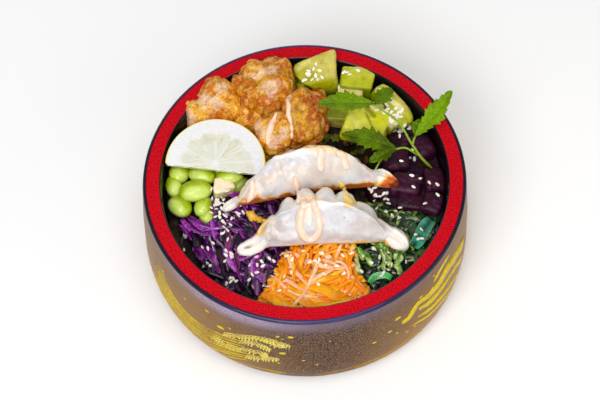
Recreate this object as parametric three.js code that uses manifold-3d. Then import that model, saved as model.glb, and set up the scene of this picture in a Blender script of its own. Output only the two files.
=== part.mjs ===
// A poke bowl: a lacquered tub that widens to its foot, packed with fried chicken, avocado, beetroot,
// seaweed, carrot, red cabbage and green soybeans, with a half slice of lemon, two folded dumplings
// under a drizzle of sauce, a sprig of flat parsley and a scatter of sesame.
// Units are millimetres, +Z is up and the origin is the centre of the foot. The diner sits at -Y.
import * as THREE from "three";
import { mergeVertices } from "three/addons/utils/BufferGeometryUtils.js";
import Module from "manifold-3d";

const wasm = await Module();
wasm.setup();

// ---- Driving dimensions -------------------------------------------------------------------------

const HEIGHT = 72; // foot to the top of the rim
const RIM_RADIUS = 91; // outer edge of the rim
const RING_OUTER = 89.5; // flat ring on top of the rim
const RING_INNER = 81.6;
const BELLY_RADIUS = 94.5; // the wall widens to here
const BELLY_HEIGHT = 20;
const FOOT_RADIUS = 88;
const RECESS_RADIUS = 60; // the shallow recess inside the foot ring
const RECESS_DEPTH = 1.5;
const FLOOR = 8; // inside, above the foot
const WELL_RADIUS = 78; // inside, just above the floor
const BOWL_SEGMENTS = 48;

const GAP = 0.35; // kept between neighbouring pieces
const BED_TOP = 53; // the bed under the toppings, at the middle of the bowl
const BED_SLOPE = 0.07; // how much it climbs towards the back

const SEED = [3.4, 2, 2.2]; // a sesame seed
const DRIZZLE_WIDTH = 4.4;
const DRIZZLE_THICKNESS = 1.3;

// ---- Small tools --------------------------------------------------------------------------------

const V = (x, y, z) => new THREE.Vector3(x, y, z);
const radians = THREE.MathUtils.degToRad;
const { lerp, clamp, smoothstep } = THREE.MathUtils;

// A seeded stream of random numbers from 0 to 1.
function stream(seed) {
  let state = seed >>> 0;
  return () => {
    state = (state + 0x6d2b79f5) >>> 0;
    let t = Math.imul(state ^ (state >>> 15), 1 | state);
    t = (t + Math.imul(t ^ (t >>> 7), 61 | t)) ^ t;
    return ((t ^ (t >>> 14)) >>> 0) / 4294967296;
  };
}

// Smooth bumps from -1 to 1, from three crossed waves with a phase of their own.
function bumps(p, wavelength, phase) {
  const k = (2 * Math.PI) / wavelength;
  return (
    (Math.sin(k * (p.x + 0.6 * p.y) + phase) +
      Math.sin(k * (p.y - 0.7 * p.z) + 2.1 * phase) +
      Math.sin(k * (p.z + 0.8 * p.x) + 3.7 * phase)) /
    3
  );
}

// A closed geometry as a solid that can be cut and joined.
function solidOf(geometry) {
  const bare = geometry.clone();
  for (const name of ["normal", "uv"]) bare.deleteAttribute(name);
  const merged = mergeVertices(bare, 1e-4);
  return new wasm.Manifold(
    new wasm.Mesh({
      numProp: 3,
      vertProperties: merged.attributes.position.array,
      triVerts: new Uint32Array(merged.index.array),
    }),
  );
}

// A solid as a geometry. Loose scraps and sealed hollows left by the cuts are dropped.
function geometryOf(solid) {
  const bodies = solid.decompose();
  const whole = bodies.reduce((a, b) => (b.volume() > a.volume() ? b : a));
  const mesh = whole.simplify(0.1).getMesh();
  return new THREE.BufferGeometry()
    .setAttribute("position", new THREE.BufferAttribute(mesh.vertProperties, 3))
    .setIndex(new THREE.BufferAttribute(mesh.triVerts, 1));
}

// The same solid a little bigger all round, to cut a neighbour back by the gap. At sharp corners a
// point moves further, so that the faces beside it still move by the whole gap.
function grown(solid) {
  const geometry = geometryOf(solid);
  geometry.computeVertexNormals();
  const { index } = geometry;
  const { position, normal } = geometry.attributes;
  const points = Array.from({ length: position.count }, (_, i) => ({
    at: V().fromBufferAttribute(position, i),
    out: V().fromBufferAttribute(normal, i),
    share: 1,
  }));
  for (let f = 0; f < index.count; f += 3) {
    const corners = [0, 1, 2].map((k) => points[index.getX(f + k)]);
    const face = new THREE.Triangle(...corners.map(({ at }) => at)).getNormal(V());
    for (const corner of corners) corner.share = Math.min(corner.share, corner.out.dot(face));
  }
  points.forEach(({ at, out, share }, i) => {
    at.addScaledVector(out, GAP / Math.max(share, 0.4));
    position.setXYZ(i, at.x, at.y, at.z);
  });
  return solidOf(geometry);
}

const union = (solids) => wasm.Manifold.union(solids);

// The solid inside a closed skin, whichever way round its faces were listed.
function closed(points, faces) {
  const geometry = new THREE.BufferGeometry().setFromPoints(points);
  geometry.setIndex(faces);
  const solid = solidOf(geometry);
  return solid.volume() > 0 ? solid : solidOf(geometry.setIndex(faces.reverse()));
}

// A closed skin through rings of points, all with the same count, with a flat fan at each end.
function loft(rings) {
  const count = rings[0].length;
  const points = rings.flat();
  const faces = [];
  for (let r = 0; r + 1 < rings.length; r++)
    for (let i = 0; i < count; i++) {
      const j = (i + 1) % count;
      const [a, b] = [r * count + i, r * count + j];
      faces.push(a, b, b + count, a, b + count, a + count);
    }
  const last = (rings.length - 1) * count;
  for (let i = 1; i + 1 < count; i++) {
    faces.push(0, i + 1, i);
    faces.push(last, last + i, last + i + 1);
  }
  return closed(points, faces);
}

// Turns and places a solid: turn is in degrees about X, Y and Z, in that order.
const placed = (solid, at, turn = [0, 0, 0]) => solid.rotate(turn).translate(at);

// The height of a solid's top at (x, y), or null beside it.
function topOf(solid) {
  const mesh = new THREE.Mesh(
    geometryOf(solid),
    new THREE.MeshBasicMaterial({ side: THREE.DoubleSide }),
  );
  const caster = new THREE.Raycaster();
  return (x, y) => {
    caster.set(V(x, y, 300), V(0, 0, -1));
    const hit = caster.intersectObject(mesh)[0];
    return hit ? hit.point.z : null;
  };
}

// ---- The bowl, its bed and the room above it ----------------------------------------------------

// The solid turned about Z from an outline of [radius, height] pairs.
function turned(pairs) {
  const profile = pairs.map(([r, z]) => new THREE.Vector2(r, z));
  return solidOf(new THREE.LatheGeometry(profile, BOWL_SEGMENTS).rotateX(Math.PI / 2));
}

// The inside radius of the bowl at a height, above its rounded floor.
function wallRadius(z) {
  const low = FLOOR + 10;
  return lerp(WELL_RADIUS, RING_INNER - 0.8, clamp((z - low) / (HEIGHT - 1 - low), 0, 1));
}

// The wall's rounded turn into the foot, from the foot up, as a quarter of an ellipse.
function bellyArc(steps) {
  return Array.from({ length: steps }, (_, i) => {
    const turn = (i / steps) * (Math.PI / 2);
    return [
      lerp(FOOT_RADIUS, BELLY_RADIUS, Math.sin(turn)),
      BELLY_HEIGHT * (1 - Math.cos(turn)),
    ];
  });
}

function bowl() {
  return turned([
    [0, RECESS_DEPTH],
    [RECESS_RADIUS - 1, RECESS_DEPTH],
    [RECESS_RADIUS, 0],
    ...bellyArc(3),
    [BELLY_RADIUS, BELLY_HEIGHT],
    [lerp(RIM_RADIUS, BELLY_RADIUS, 0.62), lerp(HEIGHT, BELLY_HEIGHT, 0.5)],
    [RIM_RADIUS, HEIGHT - 1.5],
    [RING_OUTER, HEIGHT],
    [RING_INNER, HEIGHT],
    [RING_INNER - 0.8, HEIGHT - 1],
    [WELL_RADIUS, FLOOR + 10],
    [WELL_RADIUS - 8, FLOOR],
    [0, FLOOR],
  ]);
}

const bedTop = (y) => BED_TOP + BED_SLOPE * y;

// A block that fills everything above the bed, or from below up to it, with a gap between the two.
function aboveBed(from, to) {
  const side = 120;
  const ring = (lift) =>
    [
      [-side, -side],
      [side, -side],
      [side, side],
      [-side, side],
    ].map(([x, y]) => V(x, y, bedTop(y) + lift));
  return loft([ring(from), ring(to)]);
}

// What the toppings lie on: a bed that fills the lower part of the bowl.
function bed() {
  return turned([
    [0, FLOOR + GAP],
    [WELL_RADIUS - 8 - GAP, FLOOR + GAP],
    [WELL_RADIUS - 2 * GAP, FLOOR + 10],
    [wallRadius(HEIGHT) - 2 * GAP, HEIGHT],
    [0, HEIGHT],
  ]).intersect(aboveBed(-100, 0));
}

// The room for the toppings: above the bed, short of the wall, and open above the rim.
function room() {
  return turned([
    [0, FLOOR],
    [WELL_RADIUS - 2 * GAP, FLOOR + 10],
    [wallRadius(HEIGHT) - 2 * GAP, HEIGHT + GAP],
    [RIM_RADIUS + 20, HEIGHT + GAP],
    [RIM_RADIUS + 20, HEIGHT + 60],
    [0, HEIGHT + 60],
  ]).intersect(aboveBed(GAP, 100));
}

// ---- Chunks and beans ---------------------------------------------------------------------------

const CORNERS = [-1, 1].flatMap((x) => [-1, 1].flatMap((y) => [-1, 1].map((z) => V(x, y, z))));

// A block whose roundness runs from 2, an ellipsoid, to about 8, a box with soft edges. Its eight
// corners are pulled about by a seeded rule, the last one also by peak, and its skin is raised in
// crags of the given depth and wavelength.
function block({ size, power, cells, pull, peak = [0, 0, 0], crag = 0, wave = 9, seed }) {
  const random = stream(seed);
  const phase = random() * 20;
  const pulls = CORNERS.map(() =>
    V(random() - 0.5, random() - 0.5, random() - 0.5).multiplyScalar(2 * pull),
  );
  pulls[7].add(V(...peak));
  const geometry = new THREE.BoxGeometry(2, 2, 2, cells, cells, cells);
  const { position } = geometry.attributes;
  const p = V();
  for (let i = 0; i < position.count; i++) {
    p.fromBufferAttribute(position, i);
    const flat = [p.x, p.y, p.z].map((v) => Math.tan((v * Math.PI) / 4.6));
    const length = flat.reduce((sum, v) => sum + Math.abs(v) ** power, 0) ** (1 / power);
    p.set(...flat).divideScalar(length);
    const shift = V();
    CORNERS.forEach((corner, c) => {
      const weight =
        ((1 + corner.x * p.x) * (1 + corner.y * p.y) * (1 + corner.z * p.z)) / 8;
      shift.addScaledVector(pulls[c], weight);
    });
    p.add(shift).multiply(V(...size)).multiplyScalar(0.5);
    const raise =
      crag * (0.65 * bumps(p, wave, phase) + 0.35 * bumps(p, wave * 0.45, phase + 4));
    p.addScaledVector(p.clone().normalize(), raise);
    position.setXYZ(i, p.x, p.y, p.z);
  }
  return solidOf(geometry);
}

// The chunks of a kind: where each is, its size, and how it is turned about X, Y and Z.
const CHUNKS = {
  chicken: {
    rule: { power: 2.5, cells: 4, pull: 0.16, crag: 2.2, wave: 15 },
    colour: 0xb9732b,
    list: [
      { at: [-21.5, 64.5, 65], size: [36, 33, 31], turn: [0, 0, 20] },
      { at: [-51, 53.5, 62], size: [35, 30, 28], turn: [0, 0, 35] },
      { at: [1.5, 44, 63], size: [25, 36, 29], turn: [0, 0, -12] },
      { at: [-17.5, 32.5, 62], size: [24, 25, 27], turn: [0, 0, 10] },
      { at: [-32, 44, 58], size: [19, 19, 21], turn: [0, 0, 0] },
    ],
  },
  avocado: {
    rule: { power: 4.5, cells: 2, pull: 0.16 },
    colour: 0xb7c233,
    list: [
      { at: [9, 69, 66], size: [24, 16, 17], turn: [0, 0, 10], peak: [0.1, 0.2, 1.1] },
      { at: [32.5, 68, 64.5], size: [20, 15, 15], turn: [4, 4, -6] },
      { at: [28, 58.5, 62], size: [14, 8, 10], turn: [8, 0, -14] },
      { at: [52, 51, 63], size: [29, 15, 16], turn: [0, 10, -52] },
      { at: [48.5, 46, 61], size: [20, 11, 13], turn: [0, 6, -50] },
      { at: [36.5, 39, 61], size: [25, 19, 15], turn: [0, 5, -17] },
      { at: [20, 48.5, 60.5], size: [17, 14, 13], turn: [0, 0, -8] },
    ],
  },
  beetroot: {
    rule: { power: 8, cells: 2, pull: 0.1 },
    colour: 0x3d1f3f,
    list: [
      { at: [52.5, 16.5, 57], size: [16, 14, 12], turn: [4, 3, 8] },
      { at: [57, 1, 56], size: [19, 13, 12], turn: [4, -3, -12] },
      { at: [73.5, 3.5, 54], size: [11, 15, 13], turn: [0, 6, 6] },
      { at: [60, -9.5, 53.5], size: [15, 9, 9], turn: [4, 0, -12] },
      { at: [71.5, -11, 53], size: [11, 12, 11], turn: [0, 0, -20] },
      { at: [55, 29, 57], size: [10, 9, 9], turn: [0, 6, 20] },
      { at: [68, 25.5, 56.5], size: [12, 16, 12], turn: [0, 4, 30] },
      { at: [41.5, 0.5, 56], size: [14, 13, 11], turn: [0, 0, 20] },
    ],
  },
  pale_chunk: {
    rule: { power: 4, cells: 2, pull: 0.25 },
    colour: 0xe6d3bf,
    list: [{ at: [-46.5, 1.5, 58], size: [11, 9.5, 9], turn: [0, 10, 20] }],
  },
};

const chunk = (rule, { at, size, turn, peak }, seed) =>
  placed(block({ ...rule, size, peak, seed }), at, turn);

const bean = ({ at, size, turn }) =>
  placed(solidOf(new THREE.IcosahedronGeometry(0.52, 1)).scale(size), at, turn);

// The beans that show in the heap of soybeans, as long round grains in the same way.
const BEANS = [
  { at: [-71.5, 12.5, 59], size: [12, 14, 10], turn: [0, 0, 0] },
  { at: [-58.5, 10.5, 59.5], size: [16.5, 12, 10], turn: [0, 0, -20] },
  { at: [-74.5, 4.5, 57.5], size: [10, 14, 10], turn: [0, 0, 14] },
  { at: [-62, -1, 61.5], size: [19, 13.5, 11], turn: [0, 0, 8] },
  { at: [-71, -8.5, 57.5], size: [15, 12.5, 10], turn: [0, 0, -42] },
  { at: [-58, -8.5, 57], size: [10, 14, 9], turn: [0, 0, -15] },
  { at: [-56, -14, 55], size: [9, 11, 8], turn: [0, 0, 10] },
  { at: [-42.5, 8.5, 60], size: [16, 10, 9.5], turn: [0, 0, -5] },
  { at: [-36.5, 4.5, 57.5], size: [11, 9, 9], turn: [0, 0, 40] },
];

// ---- Dumplings ----------------------------------------------------------------------------------

// A dumpling's section, as [across, up] shares of half its width and of its height: a flat base, two
// flanks that lean together, and the thin sealed crest.
const SECTION = [
  [-0.84, 0],
  [-1, 0.22],
  [-0.84, 0.5],
  [-0.42, 0.74],
  [-0.1, 0.88],
  [-0.06, 1],
  [0.06, 1],
  [0.14, 0.84],
  [0.6, 0.68],
  [0.96, 0.42],
  [0.84, 0],
];
const CREST = [4, 5, 6, 7];
const PLEATED = [7, 8, 9];

// A crescent dumpling from tip to tip along X, with its pleats on the hollow's far side. Each end
// runs out in a small flat ear.
function dumpling({ length, width, height, bow, lean }) {
  const stations = 23;
  const pleats = 5;
  const ear = { width: 4.8, height: 3.6, from: 0.86 };
  const [cos, sin] = [Math.cos(radians(lean)), Math.sin(radians(lean))];
  const rings = [];
  for (let k = 0; k < stations; k++) {
    const s = lerp(-1, 1, k / (stations - 1));
    const inner = clamp(Math.abs(s) / ear.from, 0, 1);
    const full = (1 - inner ** 2.3) ** 0.85;
    const rise = (1 - inner ** 2.1) ** 0.95;
    const taper = 1 - 0.45 * smoothstep(Math.abs(s), 0.93, 1);
    const pleat = Math.abs(Math.sin((s * pleats + 0.5) * (Math.PI / 2))) - 0.55;
    rings.push(
      SECTION.map(([across, up], i) => {
        let a = (across * full * width) / 2;
        if (CREST.includes(i)) a = across * Math.max(full * width * 0.5, 14);
        if (PLEATED.includes(i)) a += 3.2 * pleat * full;
        const thin = (Math.sign(across) * ear.width) / 2;
        a = lerp(a, thin, 1 - Math.min(1, full * 4)) * taper;
        const h = up * Math.max(height * rise, ear.height * taper);
        return V(
          (s * length) / 2,
          bow * (1 - s * s) + a * cos + h * sin,
          h * cos - a * sin,
        );
      }),
    );
  }
  return loft(rings);
}

// Two dumplings: the middle of the line between the tips, the turn, and the shape. Sauce runs over
// each along lines in plan.
const DUMPLINGS = {
  dumpling_back: {
    at: [3, -9.7, 62.5],
    turn: [0, 0, 7.4],
    shape: { length: 97, width: 26, height: 23.5, bow: 15, lean: 12 },
    sauce: [
      [[-28, 3], [-29.3, -3.4], [-31.4, -9.4]],
      [[-6.2, 1], [-4.9, -3], [-3.8, -4.5]],
      [[10, 12], [9.8, 7], [9.5, 1.5]],
      [[24.5, 11], [24.2, 4]],
    ],
  },
  dumpling_front: {
    at: [8.7, -40, 62.5],
    turn: [0, 0, 0.4],
    shape: { length: 93, width: 26, height: 25, bow: 14.5, lean: 0 },
    sauce: [
      [[-3.3, -17], [-2.4, -27], [-2.7, -34], [0, -37.8], [4.5, -37.8], [7.5, -34.5], [7.6, -28]],
      [[24, -18.5], [27, -23]],
      [[-20, -26.5], [-25.5, -29], [-29, -33]],
    ],
  },
};

// A thick line of sauce laid over a solid's top, along points given in plan.
function drizzle(top, points) {
  const curve = new THREE.CatmullRomCurve3(points.map(([x, y]) => V(x, y, 0)));
  const steps = Math.round(points.length * 1.4);
  const line = curve
    .getPoints(steps)
    .map((p) => V(p.x, p.y, top(p.x, p.y) ?? 0))
    .filter((p) => p.z > 0);
  const rings = line.map((p, i) => {
    const before = line[Math.max(i - 1, 0)];
    const after = line[Math.min(i + 1, line.length - 1)];
    const along = after.clone().sub(before).normalize();
    const across = V(-along.y, along.x, 0).normalize();
    const up = along.clone().cross(across);
    const end = i === 0 || i === line.length - 1 ? 0.5 : 1;
    const corner = (a, u) =>
      p
        .clone()
        .addScaledVector(across, (a * DRIZZLE_WIDTH * end) / 2)
        .addScaledVector(up, u * DRIZZLE_THICKNESS * end);
    return [corner(-1, -0.3), corner(1, -0.3), corner(0.55, 0.8), corner(-0.55, 0.8)];
  });
  return loft(rings);
}

function sauced({ at, turn, shape, sauce }) {
  const bare = placed(dumpling(shape), at, turn);
  const top = topOf(bare);
  return union([bare, ...sauce.map((points) => drizzle(top, points))]);
}

// ---- Lemon --------------------------------------------------------------------------------------

const LEMON = {
  radius: 28.4,
  thickness: 7.5,
  beyond: 4.5, // how far past the middle the round slice was cut
  at: [-50, 10.8, 65.5],
  turn: [4, 0, -9],
};

// The larger part of a round slice, with the rind's edge taken off.
function lemonSlice({ radius, thickness, beyond }) {
  const edge = 0.8;
  const dip = Math.asin(beyond / radius);
  const shape = new THREE.Shape().absarc(0, 0, radius - edge, -dip, Math.PI + dip, false);
  const slice = new THREE.ExtrudeGeometry(shape.closePath(), {
    depth: thickness - 2 * edge,
    bevelEnabled: true,
    bevelThickness: edge,
    bevelSize: edge,
    bevelSegments: 1,
    curveSegments: 11,
  });
  return solidOf(slice).translate([0, 0, edge]);
}

// ---- Parsley ------------------------------------------------------------------------------------

const STALKS = [
  { thick: 2, thin: 1.3, line: [[73, 10, 60.5], [67, 14, 65.5], [61, 21, 71.5], [54, 32, 76.5], [40, 42, 80]] },
  { thick: 1.4, thin: 1.2, line: [[62, 19, 69.5], [62.5, 21, 73], [64, 23, 76]] },
  { thick: 1.4, thin: 1.2, line: [[65, 15, 66.5], [58, 17.5, 71], [51, 16, 72]] },
];
const LEAVES = [
  { base: [41, 41.5, 80], tip: [9, 44, 78.5], width: 14, arch: 2 },
  { base: [41, 41, 80], tip: [52, 52, 78.5], width: 11, arch: 1 },
  { base: [63.5, 22, 75.5], tip: [84.5, 38, 96.5], width: 12.5, arch: -1.5 },
  { base: [63, 22.5, 75], tip: [67, 33, 76], width: 8, arch: 1 },
  { base: [52.5, 16, 72], tip: [22, 26, 73.5], width: 14, arch: 2.5 },
  { base: [52.5, 16, 72], tip: [37, 9, 70.5], width: 9, arch: 1 },
];
const LEAF_THICKNESS = 1;

// A plate of even thickness between two like faces, from rows of points of its middle surface and
// the direction across it.
function plate(rows, up, thickness) {
  const count = rows[0].length;
  const middle = rows.flat();
  const total = middle.length;
  const points = [0.5, -0.5].flatMap((side) =>
    middle.map((p) => p.clone().addScaledVector(up, side * thickness)),
  );
  const faces = [];
  const quad = (a, b, c, d) => faces.push(a, b, c, a, c, d);
  const wall = (a, b) => quad(a, a + total, b + total, b);
  for (let r = 0; r + 1 < rows.length; r++)
    for (let i = 0; i + 1 < count; i++) {
      const [a, b, c, d] = [0, 1, count + 1, count].map((step) => r * count + i + step);
      quad(a, b, c, d);
      faces.push(a + total, c + total, b + total, a + total, d + total, c + total);
    }
  const last = total - count;
  for (let i = 0; i + 1 < count; i++) {
    wall(i, i + 1);
    wall(last + i + 1, last + i);
  }
  for (let r = 0; r + 1 < rows.length; r++) {
    wall((r + 1) * count, r * count);
    wall(r * count + count - 1, (r + 2) * count - 1);
  }
  return closed(points, faces);
}

// A toothed leaf along a bent midrib, with both halves lifted towards their edges.
function leaf({ base, tip, width, arch }) {
  const stations = 7;
  const from = V(...base);
  const along = V(...tip).sub(from);
  const side = V(-along.y, along.x, 0).normalize();
  const up = along.clone().normalize().cross(side);
  const rows = Array.from({ length: stations + 1 }, (_, k) => {
    const t = k / stations;
    const spread = t < 0.5 ? (t / 0.5) ** 0.8 : (1 - (t - 0.5) / 0.52) ** 0.7;
    const tooth = k > 1 && k % 2 ? 1.15 : 0.9;
    const half = Math.max(0.6, (width / 2) * spread * tooth);
    return [-half, 0, half].map((a) =>
      from
        .clone()
        .addScaledVector(along, t)
        .addScaledVector(side, a)
        .addScaledVector(up, arch * 4 * t * (1 - t) + 0.12 * Math.abs(a)),
    );
  });
  return plate(rows, up, LEAF_THICKNESS);
}

// A round stalk through points, thinner towards its end.
function stalk({ line, thick, thin }) {
  const curve = new THREE.CatmullRomCurve3(line.map((p) => V(...p)));
  const steps = line.length + 1;
  const sides = 4;
  const rings = curve.getPoints(steps).map((p, i) => {
    const along = curve.getTangent(i / steps);
    const side = V(-along.y, along.x, 0).normalize();
    const up = along.clone().cross(side);
    const radius = lerp(thick, thin, i / steps) / 2;
    return Array.from({ length: sides }, (_, k) => {
      const turn = (k / sides) * 2 * Math.PI;
      return p
        .clone()
        .addScaledVector(side, radius * Math.cos(turn))
        .addScaledVector(up, radius * Math.sin(turn));
    });
  });
  return loft(rings);
}

// ---- Heaps --------------------------------------------------------------------------------------

// Each heap's core stands on the bed inside an outline in plan. Its top is inner above the bed at the
// bowl's middle and outer at the wall.
const HEAPS = {
  soybeans: {
    colour: 0x9dcb2c,
    inner: 3,
    outer: 2.5,
    outline: [[-79, -8], [-79, 7], [-77, 20], [-56, 26], [-33, 16], [-31, 3], [-47, 3], [-52, -1], [-55, -8], [-60, -16], [-68, -13], [-73, -14]],
  },
  cabbage: {
    colour: 0x5a1f63,
    inner: 9,
    outer: 2.5,
    outline: [[-73, -16], [-67, -13.5], [-60, -17], [-54, -8], [-51, 0], [-30, 3], [-8, 17], [22, 20], [28, 6], [26, -12], [12, -24], [-9, -36], [-14, -42], [-20, -54], [-25, -67], [-28, -72], [-45, -62], [-62, -45]],
  },
  carrot: {
    colour: 0xf08a1c,
    inner: 10,
    outer: 12,
    outline: [[-13, -41], [-9, -36], [12, -23], [26, -12], [27, -40], [27, -50], [32, -61], [35, -70], [20, -76], [0, -78], [-18, -76], [-28, -71], [-22, -60]],
  },
  seaweed: {
    colour: 0x2f6b3a,
    inner: 7,
    outer: 5,
    outline: [[27, -40], [27, -14], [38, -7], [52, -14], [66, -17], [77, -17], [74, -32], [62, -50], [48, -63], [35, -71], [32, -60], [28, -50]],
  },
};

// How strips lie over a heap: their number and sizes, and how headings and bends vary.
const STRIPS = {
  cabbage: { count: 17, length: [13, 28], width: [3, 5], thickness: 1.8, turn: -42, sway: 130, bend: 80, seed: 5 },
  carrot: { count: 32, length: [16, 36], width: [2.2, 3.4], thickness: 1.8, turn: 8, sway: 130, bend: 60, seed: 6 },
  seaweed: { count: 16, length: [12, 24], width: [3, 4.6], thickness: 1.8, turn: 70, sway: 130, bend: 120, seed: 7 },
};
const LEVELS = 3; // how many strips may pass over each other
const STATIONS = Array.from({ length: 15 }, (_, i) => i / 7 - 1);

const heapTop = ({ inner, outer }, x, y) =>
  bedTop(y) + lerp(inner, outer, (x * x + y * y) / WELL_RADIUS ** 2);

// A heap's outline as evenly spaced points, and their middle.
function shore({ outline }, count = 18) {
  const corners = outline.map(([x, y]) => V(x, y, 0));
  const curve = new THREE.CatmullRomCurve3(corners, true, "centripetal");
  const points = curve.getSpacedPoints(count).slice(0, count);
  const middle = V();
  for (const p of points) middle.addScaledVector(p, 1 / count);
  return { points, middle };
}

// Whether (x, y) is inside a closed line of points.
function within(points, x, y) {
  let inside = false;
  points.forEach((a, i) => {
    const b = points[(i + 1) % points.length];
    if (a.y > y !== b.y > y && x < ((b.x - a.x) * (y - a.y)) / (b.y - a.y) + a.x)
      inside = !inside;
  });
  return inside;
}

function heapCore(heap) {
  const { points, middle } = shore(heap);
  const ring = (share, height) =>
    points.map((p) => {
      const [x, y] = [lerp(middle.x, p.x, share), lerp(middle.y, p.y, share)];
      return V(x, y, height(x, y));
    });
  const top = (x, y) => heapTop(heap, x, y);
  return loft([
    ring(1, (x, y) => bedTop(y)),
    ring(1, (x, y) => top(x, y) - 1.5),
    ring(0.92, top),
    ring(0.5, top),
  ]);
}

// The room over a heap's outline, for its loose pieces.
function heapRoom(heap) {
  const { points } = shore(heap, 30);
  const ring = (lift) => points.map((p) => V(p.x, p.y, bedTop(p.y) + lift));
  return loft([ring(GAP), ring(40)]);
}

// The line of a strip over a heap at stations from -1 to 1: bent in plan, rooted in the core at its
// near end and held level above it as far as its free end.
function stripLine(heap, { x, y, turn, length, bend, lift }, stations) {
  return stations.map((s) => {
    const heading = radians(turn + (bend * s) / 4);
    const [px, py] = [
      x + (s * length * Math.cos(heading)) / 2,
      y + (s * length * Math.sin(heading)) / 2,
    ];
    const sink = (lift + 1) * smoothstep(-s, 0.6, 1);
    return V(px, py, heapTop(heap, px, py) + lift - sink);
  });
}

function strip(heap, form) {
  const line = stripLine(heap, form, [-1, -0.6, 0.2, 1]);
  const last = line.length - 1;
  const rings = line.map((p, i) => {
    const along = line[Math.min(i + 1, last)].clone().sub(line[Math.max(i - 1, 0)]);
    const across = V(-along.y, along.x, 0).normalize();
    const half = (form.width / 2) * (i % last ? 1 : 0.7);
    const corner = (a, u) =>
      p.clone().addScaledVector(across, a * half).add(V(0, 0, (u * form.thickness) / 2));
    return [corner(0, -1), corner(1, 0.6), corner(0.5, 1), corner(-1, 1)];
  });
  return loft(rings);
}

// Lays strips over a heap one after another. One that crosses others passes over them, and one that
// would reach too high, leave the outline or run into a piece already in place is left out.
function strips(heap, { count, length, width, thickness, turn, sway, bend, seed }) {
  const random = stream(seed);
  const between = ([low, high]) => lerp(low, high, random());
  const { points } = shore(heap, 30);
  const laid = [];
  for (let tries = 0; tries < 3000 && laid.length < count; tries++) {
    const form = {
      x: lerp(-80, 80, random()),
      y: lerp(-80, 15, random()),
      turn: turn + sway * (random() - 0.5),
      length: between(length),
      width: between(width),
      thickness,
      bend: bend * (random() - 0.5),
      lift: 0,
    };
    const line = stripLine(heap, form, STATIONS);
    if (!line.every((p) => within(points, p.x, p.y))) continue;
    const under = laid.filter(({ form: other, line: lower }) => {
      const reach = 0.5 * (other.width + form.width) + 0.3;
      return line.some((a) => lower.some((b) => Math.hypot(a.x - b.x, a.y - b.y) < reach));
    });
    const level = 1 + Math.max(-1, ...under.map((other) => other.level));
    if (level >= LEVELS || under.length > 3) continue;
    form.lift = thickness / 2 + 0.6 + level * (thickness + 0.3);
    const made = strip(heap, form);
    if (pieces.some(({ cutter }) => made.intersect(cutter).volume() > 0)) continue;
    laid.push({ form, line, level, made });
  }
  return laid.map(({ made }) => made);
}

// Sesame seeds, as stretched octahedra half sunk in the top of what carries them.
function seeds(carrier, places, seed) {
  const random = stream(seed);
  const top = topOf(carrier);
  return places
    .map(([x, y]) => ({ at: [x, y, top(x, y)], turn: [0, 0, 180 * random()] }))
    .filter(({ at }) => at[2] !== null)
    .map(({ at, turn }) => {
      const grain = solidOf(new THREE.OctahedronGeometry(0.5));
      return placed(grain.scale(SEED), at, turn);
    });
}

const SESAME = {
  cabbage: [[-48, -8], [-43, -14], [-37, -20], [-60, -26], [-44, -34], [-30, -46], [-36, -52], [-24, -50], [-40, -26]],
  carrot: [[8, -48], [16, -44], [-6, -58], [4, -66], [22, -54], [-2, -46]],
  seaweed: [[34, -46], [46, -42], [44, -54], [58, -36], [66, -28]],
  avocado_1: [[1, 70], [7, 72], [4, 66]],
  avocado_2: [[31, 70]],
  avocado_4: [[50, 53], [56, 48]],
  beetroot_2: [[53, 3], [60, 0]],
  beetroot_3: [[74, 4]],
  beetroot_8: [[39, 1]],
};

// ---- Fitting the pieces together ----------------------------------------------------------------

// The pieces in the order in which they hold their ground: each keeps to its room and is cut back, by
// the gap, from those before it.
const pieces = [];
function settle(name, colour, solid, space) {
  let made = space ? solid.intersect(space) : solid;
  for (const other of pieces)
    if (made.intersect(other.cutter).volume() > 0) made = made.subtract(other.cutter);
  if (SESAME[name]) made = union([made, ...seeds(made, SESAME[name], pieces.length)]);
  pieces.push({ name, colour, solid: made, cutter: grown(made) });
}

const above = room();
settle("sprig", 0x4f9a1e, union([...STALKS.map(stalk), ...LEAVES.map(leaf)]));
for (const [name, form] of Object.entries(DUMPLINGS)) settle(name, 0xe9e2da, sauced(form));
settle("lemon", 0xf3efcf, placed(lemonSlice(LEMON), LEMON.at, LEMON.turn), above);
for (const [kind, { rule, colour, list }] of Object.entries(CHUNKS))
  list.forEach((form, i) => {
    const name = list.length > 1 ? `${kind}_${i + 1}` : kind;
    settle(name, colour, chunk(rule, form, 10 * pieces.length), above);
  });
for (const [name, heap] of Object.entries(HEAPS)) {
  const loose = STRIPS[name]
    ? strips(heap, STRIPS[name])
    : BEANS.map(bean);
  const heaped = union([heapCore(heap), union(loose).intersect(heapRoom(heap))]);
  settle(name, heap.colour, heaped, above);
}

// ---- The object ---------------------------------------------------------------------------------

const pokeBowl = new THREE.Group();
function show(name, colour, solid, roughness) {
  const material = new THREE.MeshStandardMaterial({ color: colour, roughness, metalness: 0 });
  const mesh = new THREE.Mesh(geometryOf(solid), material);
  mesh.name = name;
  pokeBowl.add(mesh);
}
show("bowl", 0x3a2620, bowl(), 0.35);
show("bed", 0x2a1824, bed(), 0.8);
for (const { name, colour, solid } of pieces) show(name, colour, solid, 0.5);

export default pokeBowl;
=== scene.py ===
"""A poke bowl: a lacquered tub with fried chicken, a lemon slice, avocado, beetroot, soybeans, red
cabbage, carrot, seaweed, two dumplings and a herb sprig. Lengths are in millimetres until a mesh is made."""

import math

import bpy
import numpy as np
from mathutils import Matrix, Vector
from mathutils.bvhtree import BVHTree


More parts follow.
